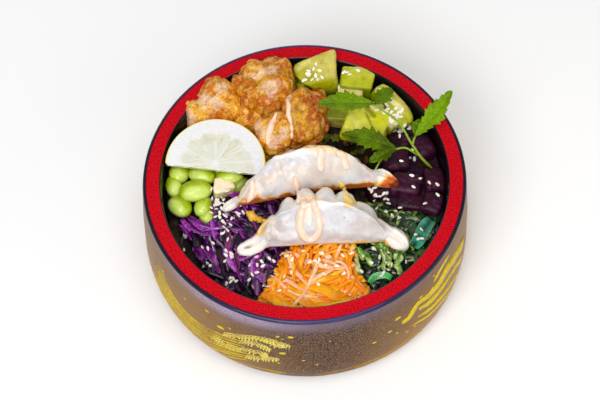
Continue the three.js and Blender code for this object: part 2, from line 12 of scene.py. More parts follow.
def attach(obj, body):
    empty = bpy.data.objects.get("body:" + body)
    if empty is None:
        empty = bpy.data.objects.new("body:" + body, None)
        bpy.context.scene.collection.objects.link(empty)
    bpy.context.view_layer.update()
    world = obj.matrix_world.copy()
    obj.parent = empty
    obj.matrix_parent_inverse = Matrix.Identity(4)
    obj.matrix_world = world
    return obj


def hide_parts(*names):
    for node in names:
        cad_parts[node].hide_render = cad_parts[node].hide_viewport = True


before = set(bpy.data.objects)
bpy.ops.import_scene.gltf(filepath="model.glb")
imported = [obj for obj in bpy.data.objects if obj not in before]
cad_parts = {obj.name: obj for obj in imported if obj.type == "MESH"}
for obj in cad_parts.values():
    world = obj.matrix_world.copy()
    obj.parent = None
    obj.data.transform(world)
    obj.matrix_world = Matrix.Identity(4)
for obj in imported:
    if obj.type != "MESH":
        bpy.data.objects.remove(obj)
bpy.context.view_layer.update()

MM = 0.001
ALL_BITS = 0xFFFFFFFF


# ---- Numbers ----


def srgb(red, green, blue):
    """A colour from 0-255 screen values, as linear light."""
    c = np.array([red, green, blue]) / 255
    return np.where(c <= 0.04045, c / 12.92, ((c + 0.055) / 1.055) ** 2.4)


def stream(seed):
    """The part's own stream of random numbers from 0 to 1."""
    state = seed & ALL_BITS

    def draw():
        nonlocal state
        state = (state + 0x6D2B79F5) & ALL_BITS
        t = ((state ^ (state >> 15)) * (1 | state)) & ALL_BITS
        t = ((t + (((t ^ (t >> 7)) * (61 | t)) & ALL_BITS)) & ALL_BITS) ^ t
        return ((t ^ (t >> 14)) & ALL_BITS) / (ALL_BITS + 1)

    return draw


def lattice(x, y, z, seed):
    """A fixed random number from -1 to 1 for each whole (x, y, z)."""
    n = (x * 374761393 + y * 668265263 + z * 1440662683 + seed * 974634777) & ALL_BITS
    n = ((n ^ (n >> 13)) * 1274126177) & ALL_BITS
    n = ((n ^ (n >> 16)) * 461845907) & ALL_BITS
    return ((n ^ (n >> 15)) & 0xFFFF) / 32767.5 - 1


def noise(points, size, seed):
    """Smooth noise from -1 to 1, with features of about the given size."""
    q = np.asarray(points) / size + 17.3
    cell = np.floor(q).astype(np.int64)
    f = q - cell
    f = f * f * f * (f * (f * 6 - 15) + 10)
    total = 0
    for corner in np.ndindex(2, 2, 2):
        weight = np.prod([f[:, k] if corner[k] else 1 - f[:, k] for k in range(3)], axis=0)
        total = total + weight * lattice(*(cell[:, k] + corner[k] for k in range(3)), seed)
    return total


def fractal(points, size, octaves, seed):
    """Noise in octaves, each about half as large and half as strong as the one before."""
    return sum(noise(points, size / 2.1**k, seed + k) / 2**k for k in range(octaves))


def billow(points, size, seed):
    """Rounded lumps with soft creases between them, from 0 to 1."""
    return np.minimum(1, np.sqrt(noise(points, size, seed) ** 2 + 0.008) * 1.8)


def wander(seed, *axes):
    """Noise with features of size 1, over one to three axes."""
    axes = np.broadcast_arrays(*axes, *[0.0] * (3 - len(axes)))
    return noise(np.stack(axes, 1), 1, seed)


def step(x, low, high):
    """A smooth rise from 0 at low to 1 at high."""
    t = np.clip((x - low) / (high - low), 0, 1)
    return t * t * (3 - 2 * t)


def blotches(points, size, octaves, seed, low, high):
    """Where fractal noise rises from low to high, from 0 to 1."""
    return step(fractal(points, size, octaves, seed), low, high)


def blend(a, b, t):
    """From a to b by a share for each point."""
    return a + (b - a) * np.asarray(t)[..., None]


def coats(tone, *layers):
    """A linear colour under layers of (screen colour, share), with one share or one for each point."""
    for colour, share in layers:
        tone = blend(tone, srgb(*colour), share)
    return tone


def unit(v):
    return v / np.maximum(np.linalg.norm(v, axis=-1, keepdims=True), 1e-9)


def placed(points, turn, at):
    """Points turned in degrees about X, then Y, then Z, and moved."""
    x, y, z = (math.radians(a) for a in turn)
    about = Matrix.Rotation(z, 3, "Z") @ Matrix.Rotation(y, 3, "Y") @ Matrix.Rotation(x, 3, "X")
    return points @ np.array(about).T + at


def circle(count):
    """Evenly spaced (x, y) round a circle of radius 1."""
    angle = np.linspace(0, 2 * math.pi, count, endpoint=False)
    return np.stack([np.cos(angle), np.sin(angle)], 1)


def level(flat, z):
    """Points at (x, y), at one height or at a height for each."""
    return np.column_stack([flat, np.broadcast_to(z, len(flat))])


def through(points, count, closed=False):
    """Evenly many points on a smooth curve through the given ones."""
    p = np.asarray(points, float)
    n = len(p)
    t = np.linspace(0, n if closed else n - 1, count, endpoint=not closed)
    i = np.minimum(np.floor(t).astype(int), n - (1 if closed else 2))
    f = (t - i)[:, None]
    a, b, c, d = (p[np.mod(i + k, n) if closed else np.clip(i + k, 0, n - 1)] for k in (-1, 0, 1, 2))
    return 0.5 * (2 * b + (c - a) * f + (2 * a - 5 * b + 4 * c - d) * f**2 + (3 * b - a - 3 * c + d) * f**3)


def flat_frame(line):
    """The unit steps along a flat line, and the directions to its left."""
    along = unit(np.gradient(line, axis=0))
    return along, np.stack([-along[:, 1], along[:, 0]], 1)


def frame_of(line, up):
    """The directions across a line and over it."""
    along = unit(np.gradient(line, axis=0))
    across = unit(np.cross(up, along))
    return across, np.cross(along, across)


# ---- Meshes ----

PARTS = {}  # name: (points, faces), in millimetres, for what is laid on them later
EVEN = math.pi / 4.6  # spreads the squares of a cube's skin more evenly when it is rounded


def normals(points, faces):
    """The way each point faces, outward."""
    corners = points[faces]
    flat = sum(np.cross(corners[:, k] - corners[:, 0], corners[:, k + 1] - corners[:, 0]) for k in (1, 2))
    out = np.zeros_like(points)
    for k in range(4):
        np.add.at(out, faces[:, k], flat)
    return unit(out)


def swell(points, faces, height):
    """Points moved out of their surface by a height for each."""
    return points + normals(points, faces) * height[:, None]


def together(shapes):
    """The points and faces of several shapes as one."""
    points = [p for p, *_ in shapes]
    starts = np.cumsum([0] + [len(p) for p in points])
    return np.concatenate(points), np.concatenate([f + start for (_, f, *_), start in zip(shapes, starts)])


def join(shapes):
    """Several (points, faces, colour) as one, with a colour for each point."""
    return *together(shapes), np.concatenate([np.broadcast_to(colour, p.shape) for p, _, colour in shapes])


def piece(name, points, faces, tint, materials, slot, replaces=(), bands=None):
    """A smooth mesh in the row frame. tint is a linear colour for each point, and bands are the indexes of
    the faces' materials."""
    mesh = bpy.data.meshes.new(name)
    mesh.from_pydata((points * MM).tolist(), [], faces.tolist())
    layer = mesh.color_attributes.new("tint", "FLOAT_COLOR", "POINT")
    rgba = np.ones((len(points), 4), np.float32)
    rgba[:, :3] = np.clip(tint, 0, 1)
    layer.data.foreach_set("color", rgba.ravel())
    mesh.polygons.foreach_set("use_smooth", np.ones(len(faces), bool))
    for material in materials if isinstance(materials, list) else [materials]:
        mesh.materials.append(material)
    if bands is not None:
        mesh.polygons.foreach_set("material_index", bands.astype(np.int32))
    mesh.update()
    mesh.validate()
    obj = bpy.data.objects.new(name, mesh)
    bpy.context.scene.collection.objects.link(obj)
    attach(obj, "root")
    if replaces:
        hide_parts(*replaces)
    PARTS[name] = (points, faces)


def tube(rings, caps=True):
    """Faces of four corners between rings of points, turned outward. caps closes each end by folding it
    flat."""
    rings = np.asarray(rings)
    count, sides = rings.shape[:2]
    points = rings.reshape(-1, 3)
    r, i = np.meshgrid(np.arange(count - 1), np.arange(sides), indexing="ij")
    a, b = r * sides + i, r * sides + (i + 1) % sides
    faces = np.stack([a, b, b + sides, a + sides], -1).reshape(-1, 4)
    if caps:
        k = np.arange(sides // 2 - 1)
        fold = np.stack([k, k + 1, sides - 2 - k, sides - 1 - k], 1)
        faces = np.concatenate([faces, fold[:, ::-1], fold + (count - 1) * sides])
    a, b, c, d = np.moveaxis(points[faces] - points.mean(0), 1, 0)
    volume = (a * (np.cross(b, c) + np.cross(c, d))).sum()
    return points, faces if volume > 0 else faces[:, ::-1]


def cube_grid(cells):
    """The skin of a cube from -1 to 1, with cells squares along each edge."""
    line = np.linspace(-1, 1, cells + 1)
    u, v = np.meshgrid(line, line, indexing="ij")
    i, j = np.meshgrid(np.arange(cells), np.arange(cells), indexing="ij")
    a = (i * (cells + 1) + j).ravel()
    quad = np.stack([a, a + cells + 1, a + cells + 2, a + 1], -1)
    sides = []
    for axis in range(3):
        for side in (-1, 1):
            p = np.full((u.size, 3), float(side))
            p[:, (axis + 1) % 3] = u.ravel()
            p[:, (axis + 2) % 3] = v.ravel()
            sides.append((p, quad if side > 0 else quad[:, ::-1]))
    points, faces = together(sides)
    whole, index = np.unique(np.round(points * cells * 4).astype(int), axis=0, return_inverse=True)
    return whole / (cells * 4), index.reshape(-1)[faces]


def ball(cells):
    """A sphere of radius 1, as a rounded cube."""
    p, faces = cube_grid(cells)
    return unit(np.tan(p * EVEN)), faces


# ---- Materials ----


def surface(name, rough=0.4, mottle=None, specks=None, relief=(), coat=0.0, coat_rough=0.1, under=None,
            specular=0.3, metallic=0.0, through_light=0.0):
    """A surface coloured by its mesh's tint. mottle is (size, strength) of a soft change of tone, specks
    is (size, share, colour) of small spots, relief is a list of (size, height), under is (weight, depth) of
    light scattered below the skin, and through_light is the share that shines through a leaf. Sizes are in
    millimetres."""
    material = bpy.data.materials.new(name)
    material.use_nodes = True
    nodes, links = material.node_tree.nodes, material.node_tree.links
    shader = nodes["Principled BSDF"]
    settings = {"Roughness": rough, "Metallic": metallic, "Specular IOR Level": specular,
                "Coat Weight": coat, "Coat Roughness": coat_rough}
    if under:
        settings |= {"Subsurface Weight": under[0], "Subsurface Scale": under[1] * MM,
                     "Subsurface Radius": (1.0, 0.6, 0.35)}
    for key, value in settings.items():
        shader.inputs[key].default_value = value
    where = nodes.new("ShaderNodeTexCoord").outputs["Object"]
    tint = nodes.new("ShaderNodeAttribute")
    tint.attribute_name = "tint"
    colour = tint.outputs["Color"]

    def texture(size, detail=2.0):
        node = nodes.new("ShaderNodeTexNoise")
        node.inputs["Scale"].default_value = 1 / (size * MM)
        node.inputs["Detail"].default_value = detail
        links.new(where, node.inputs["Vector"])
        return node.outputs["Fac"]

    def remap(value, *ranges):
        """A value's range from (low, high) to (start, end)."""
        node = nodes.new("ShaderNodeMapRange")
        for key, v in zip(("From Min", "From Max", "To Min", "To Max"), ranges):
            node.inputs[key].default_value = v
        links.new(value, node.inputs["Value"])
        return node.outputs["Result"]

    def mix(kind, factor, a, b):
        node = nodes.new("ShaderNodeMix")
        node.data_type = "RGBA"
        node.blend_type = kind
        for key, v in (("Factor", factor), ("A", a), ("B", b)):
            if hasattr(v, "is_linked"):
                links.new(v, node.inputs[key])
            else:
                node.inputs[key].default_value = v
        return node.outputs["Result"]

    if mottle:
        size, strength = mottle
        tone = remap(texture(size, 3.0), 0.25, 0.75, 1 - strength, 1 + strength)
        grey = nodes.new("ShaderNodeCombineColor")
        for key in ("Red", "Green", "Blue"):
            links.new(tone, grey.inputs[key])
        colour = mix("MULTIPLY", 1.0, colour, grey.outputs["Color"])
    if specks:
        size, share, spot = specks
        mask = remap(texture(size, 1.0), 1 - share - 0.04, 1 - share, 0.0, 1.0)
        colour = mix("MIX", mask, colour, (*spot, 1.0))
    links.new(colour, shader.inputs["Base Color"])
    normal = None
    for size, height in relief:
        bump = nodes.new("ShaderNodeBump")
        bump.inputs["Strength"].default_value = 1.0
        bump.inputs["Distance"].default_value = height * MM
        links.new(texture(size), bump.inputs["Height"])
        if normal:
            links.new(normal, bump.inputs["Normal"])
        normal = bump.outputs["Normal"]
    if normal:
        links.new(normal, shader.inputs["Normal"])
    if through_light:
        thin = nodes.new("ShaderNodeBsdfTranslucent")
        both = nodes.new("ShaderNodeMixShader")
        both.inputs["Fac"].default_value = through_light
        links.new(colour, thin.inputs["Color"])
        links.new(shader.outputs["BSDF"], both.inputs[1])
        links.new(thin.outputs["BSDF"], both.inputs[2])
        links.new(both.outputs["Shader"], nodes["Material Output"].inputs["Surface"])
    return material


# ---- The bowl ----

RIM_RADIUS, BELLY_RADIUS, BELLY_HEIGHT, FOOT_RADIUS = 91, 94.5, 20, 88
WELL_RADIUS, WELL_FLOOR, FOOT_RECESS = 78, 8, 1.5
BED_TOP, BED_SLOPE = 53, 0.07


def bed_top(y):
    """The height of the bed, which leans towards the diner."""
    return BED_TOP + BED_SLOPE * y


def wall_radius(z):
    """The outside of the wall at a height above its belly."""
    return np.interp(z, [BELLY_HEIGHT, 46, 70.5], [BELLY_RADIUS, 93.2, RIM_RADIUS])


def bowl():
    """The tub, turned from one outline: lacquer outside, a red ring on the rim and black inside."""
    sides = 240
    foot = [(30, FOOT_RECESS), (58.6, FOOT_RECESS), (59.4, 1.1), (59.8, 0.3), (60.6, 0), (75, 0)]
    belly = [(FOOT_RADIUS + (BELLY_RADIUS - FOOT_RADIUS) * math.sin(t), BELLY_HEIGHT * (1 - math.cos(t)))
             for t in np.linspace(0, math.pi / 2, 13)]
    wall = [(wall_radius(z), z) for z in (26, 33, 40, 46, 53, 60, 66)]
    lip = [(91, 69.8), (91, 70.6), (90.7, 71.4), (90.2, 71.85), (89.5, 72), (89.1, 72)]
    ring = [(88.6, 71.9), (85.5, 71.9), (82.4, 71.9), (81.9, 72.0)]
    hollow = [(81.4, 71.9), (81.05, 71.6), (80.8, 71), (80.5, 66), (80, 54), (79, 36), (WELL_RADIUS, 18),
              (76.8, 13), (74, 9.6), (70, WELL_FLOOR), (35, WELL_FLOOR)]
    outside = foot + belly + wall
    outline = outside + lip + ring + hollow
    points, faces = tube([level(r * circle(sides), z) for r, z in outline], caps=False)
    spokes = np.arange(0, sides, 2)
    for middle, start, flip in ((FOOT_RECESS, 0, True), (WELL_FLOOR, sides * (len(outline) - 1), False)):
        corners = [spokes, spokes + 1, (spokes + 2) % sides, np.full(len(spokes), len(points) - start)]
        disc = np.stack(corners, 1) + start
        points = np.vstack([points, (0, 0, middle)])
        faces = np.vstack([faces, disc[:, ::-1] if flip else disc])
    lacquered, reddened, black_inside = 0, 1, 2
    bands = np.repeat([lacquered, black_inside, reddened, black_inside],
                      [len(outside) * sides, (len(lip) - 1) * sides, len(ring) * sides, len(hollow) * sides])
    bands = np.concatenate([bands, np.repeat([lacquered, black_inside], sides // 2)])
    radius, height = np.hypot(points[:, 0], points[:, 1]), points[:, 2]
    around = np.degrees(np.arctan2(points[:, 1], points[:, 0])) % 360

    def facing(degrees, half):
        """How near each point is to a direction seen from above, from 0 to 1."""
        return np.exp(-((((around - degrees + 180) % 360 - 180) / half) ** 2))

    front = facing(275, 34) + facing(95, 34)
    tint = coats(srgb(174, 124, 52), ((72, 40, 17), front))
    tint = blend(tint, tint * 0.66, step(height, 20, 40))
    tint = coats(tint, ((52, 32, 50), step(height, 50, 70) * (0.25 + 0.75 * front)))
    # painted reflection: a pale lilac sheen under the rim, on the left of the front and a little on its
    # right, and the same opposite on the far side
    for degrees, half, share in ((243, 26, 0.75), (292, 20, 0.15), (63, 26, 0.5)):
        painted_sheen = facing(degrees, half) * step(height, 58, 68) * (height < 70.2)
        tint = coats(tint, ((176, 160, 196), share * painted_sheen))
    on_lip = (height > 70.4) & (radius > 89)
    # the lip is near black, with a painted blue sheen towards the front and the back
    tint[on_lip] = coats(srgb(20, 12, 30), ((44, 34, 84), front))[on_lip]
    tint[(height > 71.7) & (radius < 89) & (radius > 81.7)] = srgb(188, 4, 22)
    tint[(radius < 81.5) & (height > 7)] = srgb(14, 8, 16)
    lacquer = surface("lacquer", rough=0.42, mottle=(9, 0.15), specks=(0.7, 0.42, (0.2, 0.12, 0.06)),
                      relief=[(0.6, 0.02)], coat=0.06, coat_rough=0.12, specular=0.1)
    red = surface("red_ring", rough=0.6, mottle=(0.8, 0.75), relief=[(0.6, 0.05)], specular=0.08)
    black = surface("black_lacquer", rough=0.3, mottle=(12, 0.2), coat=0.35, coat_rough=0.06, specular=0.2)
    piece("bowl_lacquered", points, faces, tint, [lacquer, red, black], "lacquer", ["bowl"], bands)


# ---- Camera, light and floor ----

PICTURE_WIDE, PICTURE_HIGH = 600, 400  # places in the picture are given in these units
CENTRE_X, CENTRE_Y = PICTURE_WIDE / 2, PICTURE_HIGH / 2
FOCAL = 1600
SENSOR = 36
EYE = np.array([0, -457.35, 845.22])
GAZE = unit(np.array([-0.0031626, 0.4966341, -0.86795424]))
ROLL = math.radians(2.088)
LEVEL = unit(np.cross(GAZE, [0, 0, 1]))
RISE = np.cross(LEVEL, GAZE)
ACROSS = math.cos(ROLL) * LEVEL - math.sin(ROLL) * RISE
UP = math.sin(ROLL) * LEVEL + math.cos(ROLL) * RISE


def sight(x, y):
    """The direction from the camera through a point of the picture."""
    return unit(GAZE + ACROSS * (x - CENTRE_X) / FOCAL + UP * (CENTRE_Y - y) / FOCAL)


def picture(points):
    """Where points in millimetres fall in the picture."""
    p = points - EYE
    away = p @ GAZE
    return np.stack([CENTRE_X + FOCAL * (p @ ACROSS) / away, CENTRE_Y - FOCAL * (p @ UP) / away], -1)


def patch(points, x, y, half_wide, half_high, seed):
    """A soft patch with a ragged edge, from 0 to 1, around a point of the picture."""
    q = (picture(points) - (x, y)) / (half_wide, half_high)
    return 1 - step(np.linalg.norm(q, axis=1) + 0.45 * fractal(points, 4, 3, seed), 0.55, 1.2)


def beside(points, start, end):
    """How far points are from a line between two picture points, in its pixels."""
    start, way = np.array(start, float), np.subtract(end, start).astype(float)
    q = picture(points) - start
    share = np.clip(q @ way / max(way @ way, 1e-9), 0, 1)
    return np.linalg.norm(q - share[:, None] * way, axis=1)


def add(name, data):
    """An object that isn't part of the bowl."""
    obj = bpy.data.objects.new(name, data)
    bpy.context.scene.collection.objects.link(obj)
    return obj


def lamp(name, at, size, power, colour=(1, 1, 1)):
    """A rectangular light, in metres, aimed at the bowl."""
    light = bpy.data.lights.new(name, "AREA")
    light.shape = "RECTANGLE"
    light.size, light.size_y = size
    light.energy = power
    light.color = colour
    obj = add(name, light)
    obj.location = at
    obj.rotation_euler = (Vector((0, 0, 0.05)) - Vector(at)).to_track_quat("-Z", "Y").to_euler()


def studio():
    """The camera of the picture, five lights, a pale sky and a floor."""
    camera = add("camera", bpy.data.cameras.new("camera"))
    camera.data.lens = FOCAL * SENSOR / PICTURE_WIDE
    camera.data.sensor_width = SENSOR
    camera.data.clip_start = 0.01
    camera.matrix_world = Matrix.Translation(EYE * MM) @ Matrix(np.array([ACROSS, UP, -GAZE]).T).to_4x4()
    bpy.context.scene.camera = camera
    lamp("key", (-0.35, -0.75, 1.0), (0.6, 0.5), 8.2, (0.97, 0.98, 1))
    lamp("overhead", (0.12, -0.25, 1.2), (0.6, 0.6), 4.2, (1, 0.97, 0.94))
    lamp("front", (0.1, -1.0, 0.4), (0.8, 0.3), 2.6, (0.98, 0.98, 1))
    lamp("window", (-0.3, 0.95, 0.45), (1.0, 0.4), 2.4)
    lamp("fill", (0.95, -0.35, 0.5), (0.6, 0.6), 2.0, (1, 0.9, 0.74))
    world = bpy.data.worlds.new("studio")
    world.use_nodes = True
    sky = world.node_tree.nodes["Background"].inputs
    sky["Color"].default_value = (0.95, 0.97, 1, 1)
    sky["Strength"].default_value = 0.34
    bpy.context.scene.world = world
    bpy.context.scene.view_settings.view_transform = "Standard"
    mesh = bpy.data.meshes.new("floor")
    mesh.from_pydata([(-3, -3, 0), (3, -3, 0), (3, 3, 0), (-3, 3, 0)], [], [(0, 1, 2, 3)])
    floor = add("floor", mesh)
    pale = bpy.data.materials.new("pale_floor")
    pale.use_nodes = True
    paint = pale.node_tree.nodes["Principled BSDF"].inputs
    paint["Base Color"].default_value = (0.93, 0.93, 0.93, 1)
    paint["Roughness"].default_value = 0.8
    mesh.materials.append(pale)


# ---- Chunks ----


def bumps(p, wavelength, phase):
    """The part's own waves over a crust, from -1 to 1."""
    k = 2 * math.pi / wavelength
    x, y, z = p.T
    waves = ((x + 0.6 * y, 1), (y - 0.7 * z, 2.1), (z + 0.8 * x, 3.7))
    return sum(np.sin(k * along + share * phase) for along, share in waves) / 3


def block(size, power, pull, seed, cells, peak=(0, 0, 0), crag=0, wave=9):
    """The part's own rounded block with its corners pulled about, in more detail."""
    draw = stream(seed)
    phase = draw() * 20
    corners = list(np.ndindex(2, 2, 2))
    pulls = np.array([[draw() - 0.5 for _ in range(3)] for _ in corners]) * 2 * pull
    pulls[-1] += peak
    p, faces = cube_grid(cells)
    p = np.tan(p * EVEN)
    p /= (np.abs(p) ** power).sum(1, keepdims=True) ** (1 / power)
    shares = [np.prod(1 + (2 * np.array(corner) - 1) * p, axis=1)[:, None] / 8 for corner in corners]
    p = (p + sum(share * shift for share, shift in zip(shares, pulls))) * size / 2
    if crag:
        raised = crag * (0.65 * bumps(p, wave, phase) + 0.35 * bumps(p, wave * 0.45, phase + 4))
        p = p + unit(p) * raised[:, None]
    return p, faces


# middle, size, turn, seed, share of orange, and floury patches in the picture: middle and half size
CHICKEN = [
    ((-21.5, 64.5, 65), (36, 33, 31), 20, 40, 0.75, [(267, 71, 11, 5), (269, 88, 9, 12), (258, 76, 8, 4)]),
    ((-51, 53.5, 62), (35, 30, 28), 35, 50, 0.3,
     [(221, 89, 8, 6), (217, 104, 10, 6), (206, 100, 8, 8), (190, 118, 6, 9)]),
    ((1.5, 44, 63), (25, 36, 29), -12, 60, 0.9, [(288, 92, 4, 8)]),
    ((-17.5, 32.5, 62), (24, 25, 27), 10, 70, 0.25, [(260, 132, 8, 11), (272, 141, 7, 9), (284, 133, 5, 7)]),
    ((-32, 44, 58), (19, 19, 21), 0, 80, 0.0, []),
]


def chicken():
    """Fried pieces: puffed, craggy crust with floury knobs, and shade painted darker into its hollows."""
    crust = surface("fried_crust", rough=0.55, mottle=(1.1, 0.38), relief=[(0.8, 0.3), (1.7, 0.45)],
                    under=(0.15, 2.0), specular=0.22, coat=0.1, coat_rough=0.22)
    for number, (at, size, turn, seed, orange, floury) in enumerate(CHICKEN, 1):
        p, faces = block(size, 2.5, 0.16, seed, 60, crag=1.6, wave=15)
        crumbs = 0.5 + 0.5 * fractal(p, 2.0, 2, seed + 2)
        raised = 2.4 * (billow(p, 13, seed) - 0.5) + 1.2 * (billow(p, 7, seed + 3) - 0.5)
        raised = raised + 0.5 * fractal(p, 5.5, 2, seed + 1) + 0.6 * (crumbs - 0.5)
        p = swell(p, faces, raised)
        tone = coats(
            srgb(216, 138, 2),
            ((244, 184, 50), 0.7 * blotches(p, 10, 2, seed + 6, -0.1, 0.5)),
            ((196, 86, 0), (0.25 + 0.7 * orange) * blotches(p, 7, 3, seed + 5, -0.2, 0.4)),
            ((176, 74, 0), 0.6 * blotches(p, 3.4, 3, seed + 7, 0.05, 0.5)),
            ((255, 212, 112), 0.5 * blotches(p, 2.4, 3, seed + 8, 0.15, 0.6)),
            # painted shade: darker brown where the crust sinks into hollows
            ((140, 60, 0), 0.8 * (1 - step(raised, -2.2, -0.6))),
            ((240, 206, 120), 0.35 * step(crumbs, 0.55, 1)),
        ) * (1 - 0.25 * orange)
        p = placed(p, (0, 0, turn), at)
        for spot in floury:
            tone = coats(tone, ((232, 200, 170), 0.8 * patch(p, *spot, seed + 9) * (0.5 + 0.5 * crumbs)))
        piece(f"fried_chicken_{number}", p, faces, tone, crust, "fried_crust", [f"chicken_{number}"])


# middle, size, turn, how far a corner is drawn out, where the pale side faces, and how much of it is pale
AVOCADO = [
    ((9, 69, 66), (24, 16, 17), (0, 0, 10), (0.1, 0.2, 1.1), (0.5, 0.3, 0.7), 0.4),
    ((32.5, 68, 64.5), (20, 15, 15), (4, 4, -6), (0, 0, 0), (0.1, 0.6, 0.5), 0.1),
    ((28, 58.5, 62), (14, 8, 10), (8, 0, -14), (0, 0, 0), (0, 0, 1), 0.9),
    ((52, 51, 63), (29, 15, 16), (0, 10, -52), (0, 0, 0), (0.1, 0.7, 0.5), 0.75),
    ((48.5, 46, 61), (20, 11, 13), (0, 6, -50), (0, 0, 0), (0, -0.3, 0.8), 1.0),
    ((36.5, 39, 61), (25, 19, 15), (0, 5, -17), (0, 0, 0), (0, -0.3, 0.6), 0.15),
    ((20, 48.5, 60.5), (17, 14, 13), (0, 0, -8), (0, 0, 0), (0, 0, 1), 0.0),
]
# knife marks and stains on the cubes: a line in the picture, its half width, depth and colour
CUTS = {
    1: [((293, 78), (324, 101), 3.0, 1.5, (120, 140, 6)), ((292, 93), (322, 101), 5.0, 0.0, (168, 188, 8)),
        ((296, 70), (309, 62), 3.0, 0.4, (214, 204, 110))],
    2: [((341, 90), (371, 92), 3.0, 0.3, (140, 150, 10))],
    3: [((336, 93), (356, 91), 7.0, 0.0, (242, 226, 140))],
    4: [((392, 128), (402, 136), 7, 0.2, (186, 150, 90)), ((383, 104), (384, 108), 2.4, 0.8, (66, 60, 20)),
        ((376, 115), (378, 118), 2.2, 0.8, (66, 60, 20)), ((378, 90), (401, 108), 4, -0.4, (238, 226, 160))],
    5: [((386, 104), (402, 128), 6, 0.0, (232, 216, 176)), ((385, 108), (386, 110), 2.0, 0.8, (66, 60, 20))],
    6: [((366, 112), (377, 138), 1.3, 0.8, (120, 128, 8)), ((351, 116), (358, 127), 3.4, 0, (218, 214, 110)),
        ((366, 108), (374, 116), 3, 0.0, (120, 126, 20)), ((389, 131), (393, 136), 4, 0.3, (176, 132, 80))],
    7: [((322, 112), (342, 116), 9, 0.0, (112, 124, 16)), ((326, 122), (342, 126), 4.5, 0.3, (170, 140, 84))],
}
# the bright cube's flesh is painted lighter, painted light against the sprig's shadow on it
PEAKED, ROUND, BRIGHT = 1, 4, 6  # the cube with a drawn-out corner, the soft-edged one and the bright one


def avocado():
    """Soft cubes cut from a ripe avocado, greener towards the skin side."""
    flesh = surface("avocado_flesh", rough=0.4, mottle=(3, 0.16), relief=[(1.6, 0.2), (0.7, 0.08)],
                    under=(0.2, 2.5), coat=0.1, coat_rough=0.2)
    for number, (at, size, turn, peak, side, share) in enumerate(AVOCADO, 1):
        seed = 80 + 10 * number
        slim, power = ((1, 0.85, 0.95), 3.4) if number == ROUND else ((1, 1, 1), 11)
        p, faces = block(np.multiply(size, slim), power, 0.16, seed, 30, peak=peak)
        p = swell(p, faces, 0.2 * fractal(p, 7, 2, seed) + 0.16 * fractal(p, 2.2, 2, seed + 3))
        along = (p / (np.array(size) / 2)) @ unit(np.array(side)) + 0.35 * fractal(p, 9, 2, seed + 4)
        tone = coats(
            # painted light: the bright cube is lighter to offset the sprig's shadow
            srgb(214, 216, 14) if number == BRIGHT else srgb(176, 180, 8),
            ((146, 164, 4), step(-along, -0.1, 0.8)),
            ((204, 196, 70), (0.3 + 0.7 * share) * step(along, 0.2, 1.0)),
            ((224, 210, 136), share * step(along, 0.5, 1.1)),
            ((126, 138, 6), 0.35 * blotches(p, 5, 3, seed + 6, 0.2, 0.7)),
        )
        tone = tone * (0.9, 0.86, 0.72) if number == PEAKED else tone
        p = placed(p, turn, at)
        for start, end, half_wide, deep, stain in CUTS[number]:
            ragged = beside(p, start, end) + 0.5 * fractal(p, 3, 2, seed + 8)
            mark = 1 - step(ragged, half_wide * 0.4, half_wide)
            p = swell(p, faces, -deep * mark)
            tone = coats(tone, (stain, 0.8 * mark))
        piece(f"avocado_cube_{number}", p, faces, tone, flesh, "avocado", [f"avocado_{number}"])


BEETROOT = [
    ((52.5, 16.5, 57), (16, 14, 12), (4, 3, 8)),
    ((57, 1, 56), (19, 13, 12), (4, -3, -12)),
    ((73.5, 3.5, 54), (11, 15, 13), (0, 6, 6)),
    ((60, -9.5, 53.5), (15, 9, 9), (4, 0, -12)),
    ((71.5, -11, 53), (11, 12, 11), (0, 0, -20)),
    ((55, 29, 57), (10, 9, 9), (0, 6, 20)),
    ((68, 25.5, 56.5), (12, 16, 12), (0, 4, 30)),
    ((41.5, 0.5, 56), (14, 13, 11), (0, 0, 20)),
]


def beetroot():
    """Wet cubes of boiled beetroot, with the rings of growth just showing."""
    flesh = surface("beetroot_flesh", rough=0.42, mottle=(2.2, 0.45), relief=[(1.2, 0.3)], coat=0.1,
                    coat_rough=0.2, specular=0.12)
    root_middle = (9, 14, -6)
    for number, (at, size, turn) in enumerate(BEETROOT, 1):
        seed = 150 + 10 * number
        p, faces = block(size, 5.5, 0.13, seed, 22)
        p = swell(p, faces, 0.5 + 0.5 * fractal(p, 6, 2, seed) + 0.15 * fractal(p, 1.6, 2, seed + 3))
        from_middle = np.linalg.norm(p - root_middle, axis=1)
        rings = 0.5 + 0.5 * np.sin(from_middle * 1.9 + 2 * fractal(p, 6, 2, seed))
        tone = coats(
            srgb(52, 14, 34),
            ((92, 40, 76), 0.6 * rings * blotches(p, 8, 2, seed + 1, -0.3, 0.5)),
            ((20, 8, 18), 0.6 * blotches(p, 6, 2, seed + 2, 0.05, 0.5)),
        )
        p = placed(p, turn, at)
        piece(f"beetroot_cube_{number}", p, faces, tone, flesh, "beetroot", [f"beetroot_{number}"])


def pale_chunk():
    """A small pale piece, narrower at its far end."""
    p, faces = block((12.5, 10.5, 9.4), 8, 0.12, 240, 24)
    p = swell(p, faces, 0.35 * fractal(p, 5, 2, 3))
    p[:, 0] *= 1 - 0.45 * step(p[:, 1], -3, 5)
    low = p[:, 1] * -0.3 - p[:, 2] * 0.2 + fractal(p, 5, 2, 5)
    tone = coats(srgb(252, 232, 204), ((206, 196, 130), step(low, 0.0, 1.2)),
                 ((222, 196, 160), 0.4 * blotches(p, 4, 2, 6, 0.2, 0.7)))
    p = placed(p, (0, 10, 20), (-46.8, 2.6, 58.5))
    flesh = surface("pale_flesh", rough=0.45, mottle=(1.8, 0.07), relief=[(1.6, 0.12)], under=(0.3, 2.0))
    piece("pale_piece", p, faces, tone, flesh, "pale_food", ["pale_chunk"])


# ---- Heaps ----

